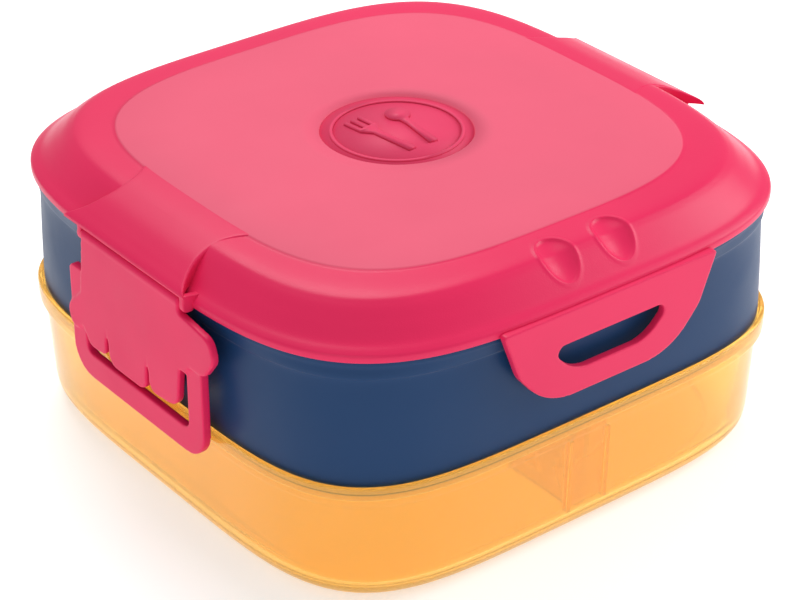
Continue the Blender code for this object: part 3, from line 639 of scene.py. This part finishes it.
outside = [middle(MIDDLE_BOTTOM, SQUARE_BODY), spot(PLUG_IN + 0.8, MIDDLE_BOTTOM, SQUARE_BODY, 0.5),
           spot(PLUG_IN + 0.3, GROOVE_LOW, SQUARE_BODY, 0.15),
           spot(PLUG_IN + 1.6, GROOVE_LOW, SQUARE_BODY, 0.15),
           spot(PLUG_IN + 1.6, GROOVE_HIGH, SQUARE_BODY, 0.15),
           spot(PLUG_IN + 0.1, GROOVE_HIGH, SQUARE_BODY, 0.15),
           spot(PLUG_IN, BASE_TOP, SQUARE_BODY, 0.3)]
outside += flow([spot(PLUG_IN - 0.05, BASE_TOP + 1.0, SQUARE_BODY),
                 spot(PLUG_IN - 0.6, (BASE_TOP + FLARE) / 2, (SQUARE_BODY + SQUARE_SHOULDER) / 2),
                 spot(3.3, FLARE, SQUARE_SHOULDER), spot(2.85, FLARE + 2.6, SQUARE_SHOULDER),
                 spot(1.9, MIDDLE_TOP - 2.6, 3.8),
                 spot(FLANGE_IN, MIDDLE_TOP - 1.4, SQUARE_LID)], 5)
outside += [spot(FLANGE_IN, MIDDLE_TOP, SQUARE_LID, 0.4),
            spot(LIP_IN, MIDDLE_TOP, SQUARE_LID, 0.25),
            spot(LIP_IN, MIDDLE_TOP + LIP_HEIGHT, SQUARE_LID, 0.35),
            spot(LIP_INNER, MIDDLE_TOP + LIP_HEIGHT, SQUARE_LID, 0.5)]
inside = [spot(5.4, FLARE, SQUARE_SHOULDER, 3.0), spot(6.7, BASE_TOP + 3.0, SQUARE_BODY, 1.0)]
inside += flow([spot(7.9, MIDDLE_FLOOR + 2.2, SQUARE_BODY),
                spot(9.0, MIDDLE_FLOOR + 0.7, SQUARE_BODY),
                spot(11.3, MIDDLE_FLOOR, SQUARE_BODY)], 6)
inside += [middle(MIDDLE_FLOOR, SQUARE_BODY)]
middle_shell = swept_wall("middle_shell", soften(outside + inside), navy_plastic)

# %% [markdown]
# Both seals are closed rings of soft silicone.  Small lips on the outer side do the sealing, so
# the profile zigzags there.  A catch low on either side takes the lips behind the fingertips.

# %% Plug seal and catches
SEAL_LIP = 0.3


def seal_profile(outer, inner, low, high, square, lips):
    """A ring whose outer side carries small sealing lips, as a closed profile."""
    points = [spot(inner, low, square), spot(inner, high, square)]
    heights = np.linspace(high, low, 2 * lips + 1)
    for i, height in enumerate(heights):
        points.append(spot(outer + (SEAL_LIP if i % 2 == 0 else 0.0), height, square))
    points.append(points[0])
    return points


plug_ring = seal_profile(PLUG_IN, PLUG_IN + 1.3, GROOVE_LOW + GAP, GROOVE_HIGH - GAP,
                         SQUARE_BODY, 3)
plug_seal = swept_wall("plug_seal", plug_ring, silicone)
catches = []
for side in (-1, 1):
    reach = sorted((side * (HALF_X - 5.4), side * (HALF_X - CATCH_IN)))
    along = (CENTRE_Y - CATCH_HALF, CENTRE_Y + CATCH_HALF)
    catches.append(bar(reach, along, (BASE_TOP + 7.2, BASE_TOP + 9.4)))
middle_catches = moulded("middle_catches", catches, 0.3, 3, navy_plastic)
fasten(middle_shell, "middle", "navy_plastic", "middle_box")
fasten(middle_catches, "middle", "navy_plastic")
fasten(plug_seal, "middle", "silicone", "middle_box_seal")

# %% [markdown]
# ## The snack pot
#
# A squat tub stands in one corner of the navy box under its own push-on cap.  Neither is seen
# until the lid comes off, but they follow the same rule as the big walls, so each costs only a
# profile.  A small grip at the cap's edge is a slab.

# %% Snack pot and cap
POT_FLOOR = POT_BOTTOM + 1.6
pot = [middle(POT_BOTTOM, SQUARE_POT), spot(4.0, POT_BOTTOM, SQUARE_POT, 1.0),
       spot(1.4, POT_BOTTOM + 2.0, SQUARE_POT, 1.0), spot(0.0, POT_TOP, SQUARE_POT, 0.4),
       spot(1.6, POT_TOP, SQUARE_POT, 0.4), spot(3.0, POT_BOTTOM + 3.4, SQUARE_POT, 1.2),
       spot(6.1, POT_FLOOR, SQUARE_POT, 1.0), middle(POT_FLOOR, SQUARE_POT)]
pot_place = {"half": (POT_HALF, POT_HALF), "centre": (POT_CENTRE.x, POT_CENTRE.y), "sides": 192}
pot_tub = swept_wall("pot_tub", soften(pot), pot_plastic, **pot_place)

CAP_TOP = level("snack_pot_lid")
CAP_LOW = level("snack_pot_lid", top=False)
CAP_ROOF = CAP_TOP - 1.6
CAP_OUT = 2.0                      # the cap reaches this far past the pot's wall
GRIP_HALF = 9.0
GRIP_REACH = 5.0
cap = [middle(CAP_TOP - 0.5, SQUARE_POT), spot(6.0, CAP_TOP - 0.5, SQUARE_POT, 0.5),
       spot(5.0, CAP_TOP, SQUARE_POT, 0.5), spot(0.2, CAP_TOP, SQUARE_POT, 0.6),
       spot(-CAP_OUT, CAP_TOP - 1.2, SQUARE_POT, 0.8), spot(-CAP_OUT, CAP_LOW, SQUARE_POT, 0.4),
       spot(-0.4, CAP_LOW, SQUARE_POT, 0.3), spot(-0.4, CAP_ROOF, SQUARE_POT, 0.2),
       middle(CAP_ROOF, SQUARE_POT)]
pot_cap = swept_wall("pot_cap", soften(cap), cap_plastic, **pot_place)
cap_edge = POT_CENTRE.y - POT_HALF - CAP_OUT
grip = rounded([(POT_CENTRE.x - GRIP_HALF, cap_edge + 1.4, 0),
                (POT_CENTRE.x - GRIP_HALF, cap_edge - GRIP_REACH, 4.5),
                (POT_CENTRE.x + GRIP_HALF, cap_edge - GRIP_REACH, 4.5),
                (POT_CENTRE.x + GRIP_HALF, cap_edge + 1.4, 0)])
grip_plate = slab(grip, CAP_LOW + 0.4, CAP_LOW + 2.0, "Z")
pot_grip = moulded("pot_grip", [grip_plate], 0.25, 3, cap_plastic)
fasten(pot_tub, "pot", "pot_plastic", "snack_pot")
fasten(pot_cap, "pot_lid", "pink_plastic", "snack_pot_lid")
fasten(pot_grip, "pot_lid", "pink_plastic")

# %% [markdown]
# ## The lid
#
# From the middle outwards: a round recess for the badge, a flat matte top that ends in a crisp
# line, a shoulder that swells and then dips before the rim, and a short upright edge.  Below are
# a channel for the seal, a skirt that guides the lid into the box, and the hollow roof.  The
# outline goes from a circle to a square to a softer square, which the tree takes in its stride.

# %% Lid shell
TOP_X = 20.3                       # the flat top's insets
TOP_Y = 21.2
STEP = 0.4                         # the flat top stands this much proud of the shoulder
BADGE_RADIUS = 22.3
BADGE_DEPTH = 0.8
RIM_WALL = 2.0
SKIRT_IN = 5.5
SKIRT_INNER = 7.3
SKIRT_LOW = LID_EDGE - 1.0
CHANNEL_ROOF = LID_EDGE + 2.7
ROOF = LID_TOP - 2.2


def ring_inset(radius):
    """The insets that make a circle of this radius."""
    return (HALF_X - radius, HALF_Y - radius)


# the flat top's last value of 1 gives matte roughness and the paler pink of the painted highlight
top = [spot(20.0, LID_TOP - BADGE_DEPTH, 2.0, shrink=0.0, matte_and_highlight=1.0),
       spot(ring_inset(BADGE_RADIUS - 0.2), LID_TOP - BADGE_DEPTH, 2.0, 0.1, 1.0),
       spot(ring_inset(BADGE_RADIUS), LID_TOP, 2.0, 0.25, 1.0)]
for share in (0.1, 0.4, 0.7):
    between = np.array(ring_inset(BADGE_RADIUS)) * (1 - share) + np.array((TOP_X, TOP_Y)) * share
    top.append(spot(tuple(between), LID_TOP, 2.0 + (SQUARE_TOP - 2.0) * share, 0.0, 1.0))
top += [spot((TOP_X + 0.6, TOP_Y + 0.6), LID_TOP, SQUARE_TOP, 0.0, 1.0),
        spot((TOP_X + 0.3, TOP_Y + 0.3), LID_TOP - STEP * 0.3, SQUARE_TOP, 0.0, 1.0)]
shoulder = flow([spot((TOP_X, TOP_Y), LID_TOP - STEP, SQUARE_TOP),
                 spot(13.0, LID_EDGE + 11.9, SQUARE_LID), spot(9.8, LID_EDGE + 10.5, SQUARE_LID),
                 spot(6.4, LID_EDGE + 7.4, SQUARE_LID), spot(3.2, LID_EDGE + 4.2, SQUARE_LID),
                 spot(1.2, LID_EDGE + 2.9, SQUARE_LID)], 9)
rim = [spot(0.0, LID_EDGE + 2.1, SQUARE_LID, 0.8), spot(0.0, LID_EDGE, SQUARE_LID, 0.5)]
under = [spot(RIM_WALL, LID_EDGE, SQUARE_LID, 0.4), spot(RIM_WALL, CHANNEL_ROOF, SQUARE_LID, 0.2),
         spot(SKIRT_IN, CHANNEL_ROOF, SQUARE_LID, 0.2), spot(SKIRT_IN, SKIRT_LOW, SQUARE_LID, 0.4),
         spot(SKIRT_INNER, SKIRT_LOW, SQUARE_LID, 0.4),
         spot(SKIRT_INNER, LID_EDGE + 5.4, SQUARE_LID, 1.0),
         spot(10.6, LID_EDGE + 8.3, SQUARE_LID, 1.5),
         spot((TOP_X + 1.5, TOP_Y + 1.5), ROOF, SQUARE_TOP, 1.5), middle(ROOF, SQUARE_TOP)]
lid_shell = swept_wall("lid_shell", top + soften(shoulder + rim + under), lid_plastic, sides=560)

# %% [markdown]
# Two finger dimples sit side by side on the front shoulder.  They are pressed into the mesh: the
# faces there are cut finer, then each point is pushed square to the slope by a bowl with a
# little raised lip round it.  Behind each clip's barrel the rim is flattened, to let the clip turn.

# %% Dimples and hinge room
DIMPLE_SPACING = 19.4
DIMPLE_IN = 10.6                   # their middles, in from the rim
DIMPLE_SLOPE = math.radians(34)    # the shoulder's slope there
DIMPLE_HALF = (5.5, 7.5)
DIMPLE_DEPTH = 1.5
DIMPLE_LIP = 0.22
BARREL_ROOM = 23.8
BARREL_SHIFT = 3.0                 # the barrel sits off centre, towards the thumb
ROOM_X = 89.05                     # the rim is flattened to this


def press_dimples(obj):
    """Cut the front shoulder finer, then push two bowls with lips into it."""
    bm = bmesh.new()
    bm.from_mesh(obj.data)
    front = CENTRE_Y - HALF_Y
    near = [f for f in bm.faces
            if abs(f.calc_center_median().x) < 20.5 * MM and f.normal.z > 0.35
            and front + 1.5 < f.calc_center_median().y / MM < front + 21.0]
    edges = list({e for f in near for e in f.edges})
    bmesh.ops.subdivide_edges(bm, edges=edges, cuts=2, use_grid_fill=True)
    outward = Vector((0.0, -math.sin(DIMPLE_SLOPE), math.cos(DIMPLE_SLOPE)))
    for vert in bm.verts:
        if vert.co.z < LID_EDGE * MM or abs(vert.co.x) > 0.03 or vert.normal.z < 0.2:
            continue
        away = (vert.co.y / MM - front - DIMPLE_IN) / math.cos(DIMPLE_SLOPE)
        for side in (-1, 1):
            u = (vert.co.x / MM - side * DIMPLE_SPACING / 2) / DIMPLE_HALF[0]
            v = away / DIMPLE_HALF[1]
            reach = math.hypot(u, v)
            if reach > 1.6:
                continue
            bowl = -DIMPLE_DEPTH * max(0.0, 1 - reach ** 2) ** 0.8
            fade = max(0.0, 0.5 + 0.5 * v)
            lip = DIMPLE_LIP * math.exp(-((reach - 1.06) / 0.1) ** 2) * (0.35 + fade)
            vert.co += outward * (bowl + lip) * MM
    bm.to_mesh(obj.data)
    bm.free()
    print("dimples pressed into", len(near), "faces")


def flatten_rim(obj):
    """Press the rim in behind each clip's barrel."""
    for vert in obj.data.vertices:
        shift = math.copysign(BARREL_SHIFT, vert.co.x)
        beside = abs(vert.co.y / MM - CENTRE_Y - shift) < BARREL_ROOM
        if beside and abs(vert.co.x) > ROOM_X * MM and vert.co.z > LID_EDGE * MM - MM:
            vert.co.x = math.copysign(ROOM_X * MM, vert.co.x)


flatten_rim(lid_shell)
press_dimples(lid_shell)
lid_shell.data.shade_smooth()

# %% [markdown]
# ## Hinge tongues
#
# On each side a broad tongue runs out from the flat top to cover the clip's hinge, and a round
# scoop on either flank lets it down to the corner.  It is a row of cross-sections: at each
# station the width comes from the scoop's circle and the height from the tongue's back, and
# the top edges are rounded over.

# %% Tongues
SCOOP = {"x": 79.0, "y": 38.2, "radius": 16.5}
# the back's line: (in from the rim, below the flat top)
BACK = ((25.0, 0.6), (22.5, 0.12), (21.0, 0.02), (18.0, 0.3), (14.0, 0.85), (10.0, 1.95),
        (6.0, 3.4), (2.0, 5.4), (0.0, 6.5), (-1.6, 7.4), (-2.5, 8.1), (-2.8, 8.6))
TONGUE_UNDER = HINGE_Z + 2.35      # clear of the barrel and of the palm when it swings up
TONGUE_EDGE = 0.8                  # rounding of its top edges
EDGE_STEPS = 6


def tongue_stations():
    """(x, top height) along the tongue's back."""
    return [(HALF_X - a, LID_TOP - b) for a, b, *_ in
            flow([np.array([a, b, 0, 0, 0, 0, 0.0]) for a, b in BACK], 5)]


def tongue_section(x, height):
    """One cross-section (y, z) of the tongue, from its right flank over the top to the left."""
    reach = SCOOP["radius"] ** 2 - (x - SCOOP["x"]) ** 2
    half = SCOOP["y"] - math.sqrt(max(reach, 0.0))
    inner = max(min(x - 60.5, 30.0), 0.0)
    belly = TONGUE_UNDER if x > HALF_X - 3.0 else height - min(0.9 + inner * 0.25, 6.0)
    edge = min(TONGUE_EDGE, 0.8 * (height - belly))
    section = []
    for step in range(EDGE_STEPS + 1):
        turn = math.pi / 2 * step / EDGE_STEPS
        section.append((half - edge + edge * math.cos(turn), height - edge + edge * math.sin(turn)))
    crown = [(half * share, height) for share in np.linspace(0.94, 0.0, 12, endpoint=False)]
    right = [(half, belly)] + section + crown
    return right + [(-y, z) for y, z in right[::-1]]


def make_tongue(side):
    """Skin the cross-sections into one closed piece."""
    bm = bmesh.new()
    rings = []
    for x, height in tongue_stations():
        ring = tongue_section(x, height)
        rings.append([bm.verts.new((side * x * MM, (CENTRE_Y + y) * MM, z * MM)) for y, z in ring])
    for a, b in zip(rings, rings[1:]):
        for i in range(len(a)):
            bm.faces.new((a[i - 1], a[i], b[i], b[i - 1]))
    bm.faces.new(rings[0])
    bm.faces.new(rings[-1])
    mesh = bpy.data.meshes.new("tongue")
    bm.to_mesh(mesh)
    bm.free()
    obj = bpy.data.objects.new("tongue", mesh)
    bpy.context.scene.collection.objects.link(obj)
    clean(mesh)
    mesh.set_sharp_from_angle(angle=math.radians(40))
    return obj


tongues = paint(join("lid_tongues", [make_tongue(-1), make_tongue(1)]), lid_plastic)
print("tongues:", len(tongues.data.polygons), "faces")

# %% [markdown]
# Under each tongue two cheeks come down beside the ends of the clip's barrel and hold its pins.

# %% Hinge cheeks
CHEEK_THICKNESS = 2.0


def make_cheeks(side):
    """The two cheeks of one hinge."""
    outline = rounded([
        (side * (HALF_X - 3.0), LID_EDGE + 3.4, 0), (side * (HINGE_X + 1.4), LID_EDGE + 4.4, 0.8),
        (side * (HINGE_X + 1.5), HINGE_Z - 2.1, 1.5), (side * (HINGE_X - 2.1), HINGE_Z - 2.1, 1.0),
        (side * (HALF_X - 0.8), LID_EDGE + 1.0, 0)])
    blocks = []
    for end in (-1, 1):
        near = CENTRE_Y + side * BARREL_SHIFT + end * BARREL_ROOM
        span = sorted((near, near + end * CHEEK_THICKNESS))
        blocks.append(slab(outline, *span, "Y"))
    return moulded(f"cheeks_{'left' if side < 0 else 'right'}", blocks, 0.25, 4, lid_plastic)


cheeks = [make_cheeks(side) for side in (-1, 1)]
print("cheeks:", [len(piece.data.polygons) for piece in cheeks], "faces")

# %% [markdown]
# ## Pull tab
#
# A broad tab hangs from the front of the rim, clear of the navy wall, with a slot for a
# finger that is straight on top and rounded below.

# %% Pull tab
TAB_FACE = HALF_Y + 1.4
TAB_THICKNESS = 2.4
TAB_BOTTOM = LID_EDGE - 24.8
TAB_HALF = 37.5
TAB_TURN = (5.6, 11.6)             # its sides turn in here: in from the side, above the bottom
TAB_FOOT = 15.5                    # and its bottom ends here, in from the side
SLOT_TOP = LID_EDGE - 8.5
SLOT_BOTTOM = SLOT_TOP - 9.0
SLOT_HALF = 21.8
SLOT_FOOT = 9.0


def both_sides(corners):
    """Corners of the left side, top to bottom, followed by their mirror images."""
    return corners + [(-a, b, radius) for a, b, radius in corners[::-1]]


tab_outline = rounded(both_sides([
    (-TAB_HALF, LID_EDGE + 1.4, 0.8), (-TAB_HALF + TAB_TURN[0], TAB_BOTTOM + TAB_TURN[1], 8.0),
    (-TAB_HALF + TAB_FOOT, TAB_BOTTOM, 20.0)]), steps=14)
tab_slot = rounded(both_sides([
    (-SLOT_HALF, SLOT_TOP, 2.2), (-SLOT_HALF + SLOT_FOOT, SLOT_BOTTOM, 12.0)]), steps=12)
tab_front = CENTRE_Y - TAB_FACE
tab_plate = slab(tab_outline, tab_front, tab_front + TAB_THICKNESS, "Y", [tab_slot])
pull_tab = moulded("pull_tab", [tab_plate], 0.32, 6, lid_plastic)
print("pull tab:", len(pull_tab.data.polygons), "faces")

# %% [markdown]
# ## Badge
#
# The recess in the flat top holds a disc in a deeper pink with a spoon and a fork in low relief:
# a sign for food that belongs to nobody.

# %% Badge
BADGE_FLOOR = LID_TOP - BADGE_DEPTH
RING_RADII = (19.4, 18.3)
RING_RISE = 0.5
RELIEF_RISE = 0.74                 # spoon and fork end just under the flat top


def arc_points(radius, first, last, centre=(0.0, 0.0), steps=24):
    """Points on a circle from one angle to another, in degrees."""
    turns = np.radians(np.linspace(first, last, steps + 1))
    return [(centre[0] + radius * math.cos(t), centre[1] + radius * math.sin(t)) for t in turns]


def turned(points, degrees, shift):
    """Turn and shift a flat outline."""
    c, s = math.cos(math.radians(degrees)), math.sin(math.radians(degrees))
    return [(x * c - y * s + shift[0], x * s + y * c + shift[1] + CENTRE_Y) for x, y in points]


def disc_outline(radius):
    """A full circle round the badge's middle."""
    return turned(arc_points(radius, 0, 357, steps=119), 0, (0, 0))


spoon = [*arc_points(3.7, -66, 246, (0.0, 7.8)), (-1.3, 3.6), (-1.0, 1.0), (-1.4, -12.0),
         (1.4, -12.0), (1.0, 1.0), (1.3, 3.6)]
fork = [(-3.3, 12.4), (-3.3, 5.6), (-1.2, 2.6), (-1.4, -12.0), (1.4, -12.0), (1.2, 2.6),
        (3.3, 5.6), (3.3, 12.4), (2.1, 12.4), (2.1, 6.6), (0.65, 6.6), (0.65, 12.4),
        (-0.65, 12.4), (-0.65, 6.6), (-2.1, 6.6), (-2.1, 12.4)]
disc = slab(disc_outline(BADGE_RADIUS - 0.35), BADGE_FLOOR - 0.4, BADGE_FLOOR + 0.1, "Z")
ring = slab(disc_outline(RING_RADII[0]), BADGE_FLOOR, BADGE_FLOOR + RING_RISE, "Z",
            [disc_outline(RING_RADII[1])])
relief = [slab(turned(spoon, -7, (5.2, 0.0)), BADGE_FLOOR, BADGE_FLOOR + RELIEF_RISE, "Z"),
          slab(turned(fork, 7, (-5.2, 0.0)), BADGE_FLOOR, BADGE_FLOOR + RELIEF_RISE, "Z")]
badge = paint(join("badge", [disc, ring, *relief]), badge_plastic)
print("badge:", len(badge.data.polygons), "faces")

# %% [markdown]
# Last, the ring of silicone in the lid's channel, and then all of the lid's pieces are fastened
# to the lid's body, so they rise together.

# %% Lid seal, and fastening the lid's pieces
lid_ring = seal_profile(RIM_WALL + GAP, SKIRT_IN - GAP, MIDDLE_TOP + LIP_HEIGHT + GAP,
                        CHANNEL_ROOF - GAP, SQUARE_LID, 2)
lid_seal = swept_wall("lid_seal_ring", lid_ring, silicone)
fasten(lid_shell, "lid", "pink_plastic", "lid")
for piece in (tongues, *cheeks, pull_tab, badge):
    fasten(piece, "lid", "pink_plastic")
fasten(lid_seal, "lid", "silicone", "lid_seal")

# %% [markdown]
# ## Hand-shaped clips
#
# Each clip is one moulding: a barrel that turns under the tongue, a hand with a cuff, a thumb and
# three fingers, and behind the fingers a loop that reaches down over the clear base.  The
# hand and the loop are drawn from the front, as outlines.

# %% Outlines of the hand and the loop
BARREL = {"radius": 1.95, "length": 47.0}
PALM_X = -HINGE_X - BARREL["radius"] + 0.1
PALM_THICKNESS = 2.25
LOOP_X = PALM_X + 0.55
LOOP_THICKNESS = 2.5
BAR_TOP = BASE_TOP + 1.2           # top of the loop's bar
BAR_HEIGHT = 7.8
TIP = BAR_TOP + 2.0                # the fingertips
LOOP_SIDES = (28.8, -35.5)
LOOP_LEG = 7.0


def hand_outline():
    """Front view (y, z): cuff, thumb side, palm and three fingers."""
    top = HINGE_Z
    wrist = BARREL["length"] / 2 - BARREL_SHIFT
    thumb = -BARREL["length"] / 2 - BARREL_SHIFT
    return [(y + CENTRE_Y, z) for y, z in rounded([
        (wrist, top, 0.6), (wrist + 2.2, top - 19.0, 3.0), (wrist + 9.6, top - 25.5, 4.0),
        (wrist + 8.0, top - 34.0, 3.0), (22.6, TIP + 6.5, 0.5), (19.5, TIP + 1.2, 3.4),
        (11.2, TIP + 1.6, 2.4), (10.35, TIP + 13.5, 0), (9.35, TIP, 3.2), (-8.8, TIP, 3.6),
        (-9.75, TIP + 14.5, 0), (-10.65, TIP + 1.2, 3.0), (-24.2, TIP + 2.6, 5.0),
        (-26.0, TIP + 15.5, 0.6), (-28.4, TIP + 15.5, 0.4), (-31.0, top - 17.0, 1.5),
        (-37.5, top - 17.2, 3.4), (-42.6, top - 10.5, 4.4), (-40.5, top - 4.6, 4.2),
        (thumb, top - 2.6, 1.2), (thumb, top, 0.6)])]


def loop_outline(inset):
    """Front view of the loop: 0 is its outside, a leg's width is its window."""
    bottom = BAR_TOP if inset else BAR_TOP - BAR_HEIGHT
    corner = 2.5 if inset else 8.5
    top = HINGE_Z - 12.0 - inset * 0.7
    left, right = LOOP_SIDES[0] - inset, LOOP_SIDES[1] + inset
    return [(y + CENTRE_Y, z) for y, z in rounded(
        [(left, top, 2.0), (left, bottom, corner), (right, bottom, corner), (right, top, 2.0)])]


print("hand outline:", len(hand_outline()), "points")

# %% [markdown]
# The left clip is welded from its slabs, the barrel with its pins, a tooth behind the loop and
# three lips behind the fingertips.  The right one is the same mesh turned half round.

# %% Clips
PIN_RADIUS = 1.0
PIN_REACH = 1.8                    # each pin reaches this far into its cheek's room
TOOTH_TOP = BASE_TOP - 3.3
TOOTH_HEIGHT = 2.2
LIP_TOP = TIP + 3.6
LIP_THICKNESS = 2.0
FINGER_LIPS = ((12.5, 16.0), (-6.5, 7.0), (-16.0, -13.0))


def make_clip():
    """The left clip, welded into one skin."""
    palm = slab(hand_outline(), PALM_X, PALM_X + PALM_THICKNESS, "X")
    loop = slab(loop_outline(0.0), LOOP_X, LOOP_X + LOOP_THICKNESS, "X", [loop_outline(LOOP_LEG)])
    axle = (-HINGE_X, CENTRE_Y - BARREL_SHIFT, HINGE_Z)
    barrel = pin(BARREL["radius"], BARREL["length"], axle)
    pins = pin(PIN_RADIUS, BARREL["length"] + 2 * PIN_REACH, axle, 24)
    back = -HALF_X + 0.8
    along = (CENTRE_Y - CATCH_HALF, CENTRE_Y + CATCH_HALF)
    tooth = bar((LOOP_X + LOOP_THICKNESS - 1.0, back), along, (TOOTH_TOP - TOOTH_HEIGHT, TOOTH_TOP))
    parts = [palm, loop, barrel, pins, tooth]
    across = (PALM_X + PALM_THICKNESS - 1.0, back)
    for low_y, high_y in FINGER_LIPS:
        span = (CENTRE_Y + low_y, CENTRE_Y + high_y)
        parts.append(bar(across, span, (LIP_TOP - LIP_THICKNESS, LIP_TOP)))
    return moulded("left_clip_body", parts, 0.34, 5, clip_plastic)


left_clip = make_clip()
right_clip = bpy.data.objects.new("right_clip_body", left_clip.data.copy())
bpy.context.scene.collection.objects.link(right_clip)
centre = Vector((0.0, CENTRE_Y * MM, 0.0))
half_turn = Matrix.Rotation(math.pi, 4, "Z")
right_clip.data.transform(Matrix.Translation(centre) @ half_turn @ Matrix.Translation(-centre))
fasten(left_clip, "left_clip", "clip_pink_plastic", "left_clip")
fasten(right_clip, "right_clip", "clip_pink_plastic", "right_clip")
print("clip:", len(left_clip.data.polygons), "faces")

# %% [markdown]
# ## Studio
#
# A pale table, a bright surround and three large soft lights, as in a catalogue: one overhead
# and behind, which draws the line along the shoulder, one to the right, which lights the front,
# and a weak one on the left.  The table glows a little, so that it stays white.

# %% Floor and lights
AIM = Vector((0.0, 0.0, 0.04))     # the lights point at the middle of the box
WHITE = (1.0, 1.0, 1.0, 1.0)


def soft_light(name, where, size, energy):
    """A round soft lamp that points at the box."""
    lamp = bpy.data.lights.new(name, "AREA")
    lamp.shape = "DISK"
    lamp.size = size
    lamp.energy = energy
    obj = bpy.data.objects.new(name, lamp)
    bpy.context.scene.collection.objects.link(obj)
    obj.location = where
    obj.rotation_euler = (Vector(where) - AIM).to_track_quat("Z", "Y").to_euler()


def studio():
    """The table, the surround and the lamps."""
    bpy.ops.mesh.primitive_plane_add(size=6.0, location=(0.0, 0.0, -0.0002))
    floor = bpy.context.object
    floor.name = "floor"
    material, wires, shader, place = start_material("pale_floor")
    wires.feed(shader.inputs["Base Color"], (0.93, 0.93, 0.93, 1.0))
    wires.feed(shader.inputs["Roughness"], drift(wires, place, 8.0, 0.6, 0.7))
    shader.inputs["Emission Color"].default_value = WHITE
    shader.inputs["Emission Strength"].default_value = 0.45
    floor.data.materials.append(material)
    world = bpy.data.worlds.new("studio")
    bpy.context.scene.world = world
    world.use_nodes = True
    sky = world.node_tree.nodes["Background"]
    sky.inputs["Color"].default_value = WHITE
    sky.inputs["Strength"].default_value = 0.42
    soft_light("overhead", (0.15, 0.45, 0.9), 0.7, 5.5)
    soft_light("right_side", (0.75, -0.35, 0.45), 0.6, 4.2)
    soft_light("left_fill", (-0.7, -0.5, 0.5), 0.7, 1.2)


studio()
print("lamps:", len(bpy.data.lights))

# %% [markdown]
# The camera looks down on one corner through a long lens, so the far edges shrink only a little.

# %% Camera
def camera():
    """A long lens, turned to the front left corner."""
    lens = bpy.data.cameras.new("camera")
    lens.lens = 114.39
    lens.sensor_width = 36.0
    lens.clip_start = 0.01
    obj = bpy.data.objects.new("camera", lens)
    bpy.context.scene.collection.objects.link(obj)
    obj.location = (-0.39716, -0.50718, 0.41304)
    obj.rotation_euler = (math.radians(90 - 30.44), 0.0, math.radians(-38.10))
    bpy.context.scene.camera = obj


camera()
bpy.context.scene.view_settings.view_transform = "Standard"
print("lens:", round(bpy.context.scene.camera.data.lens), "mm")
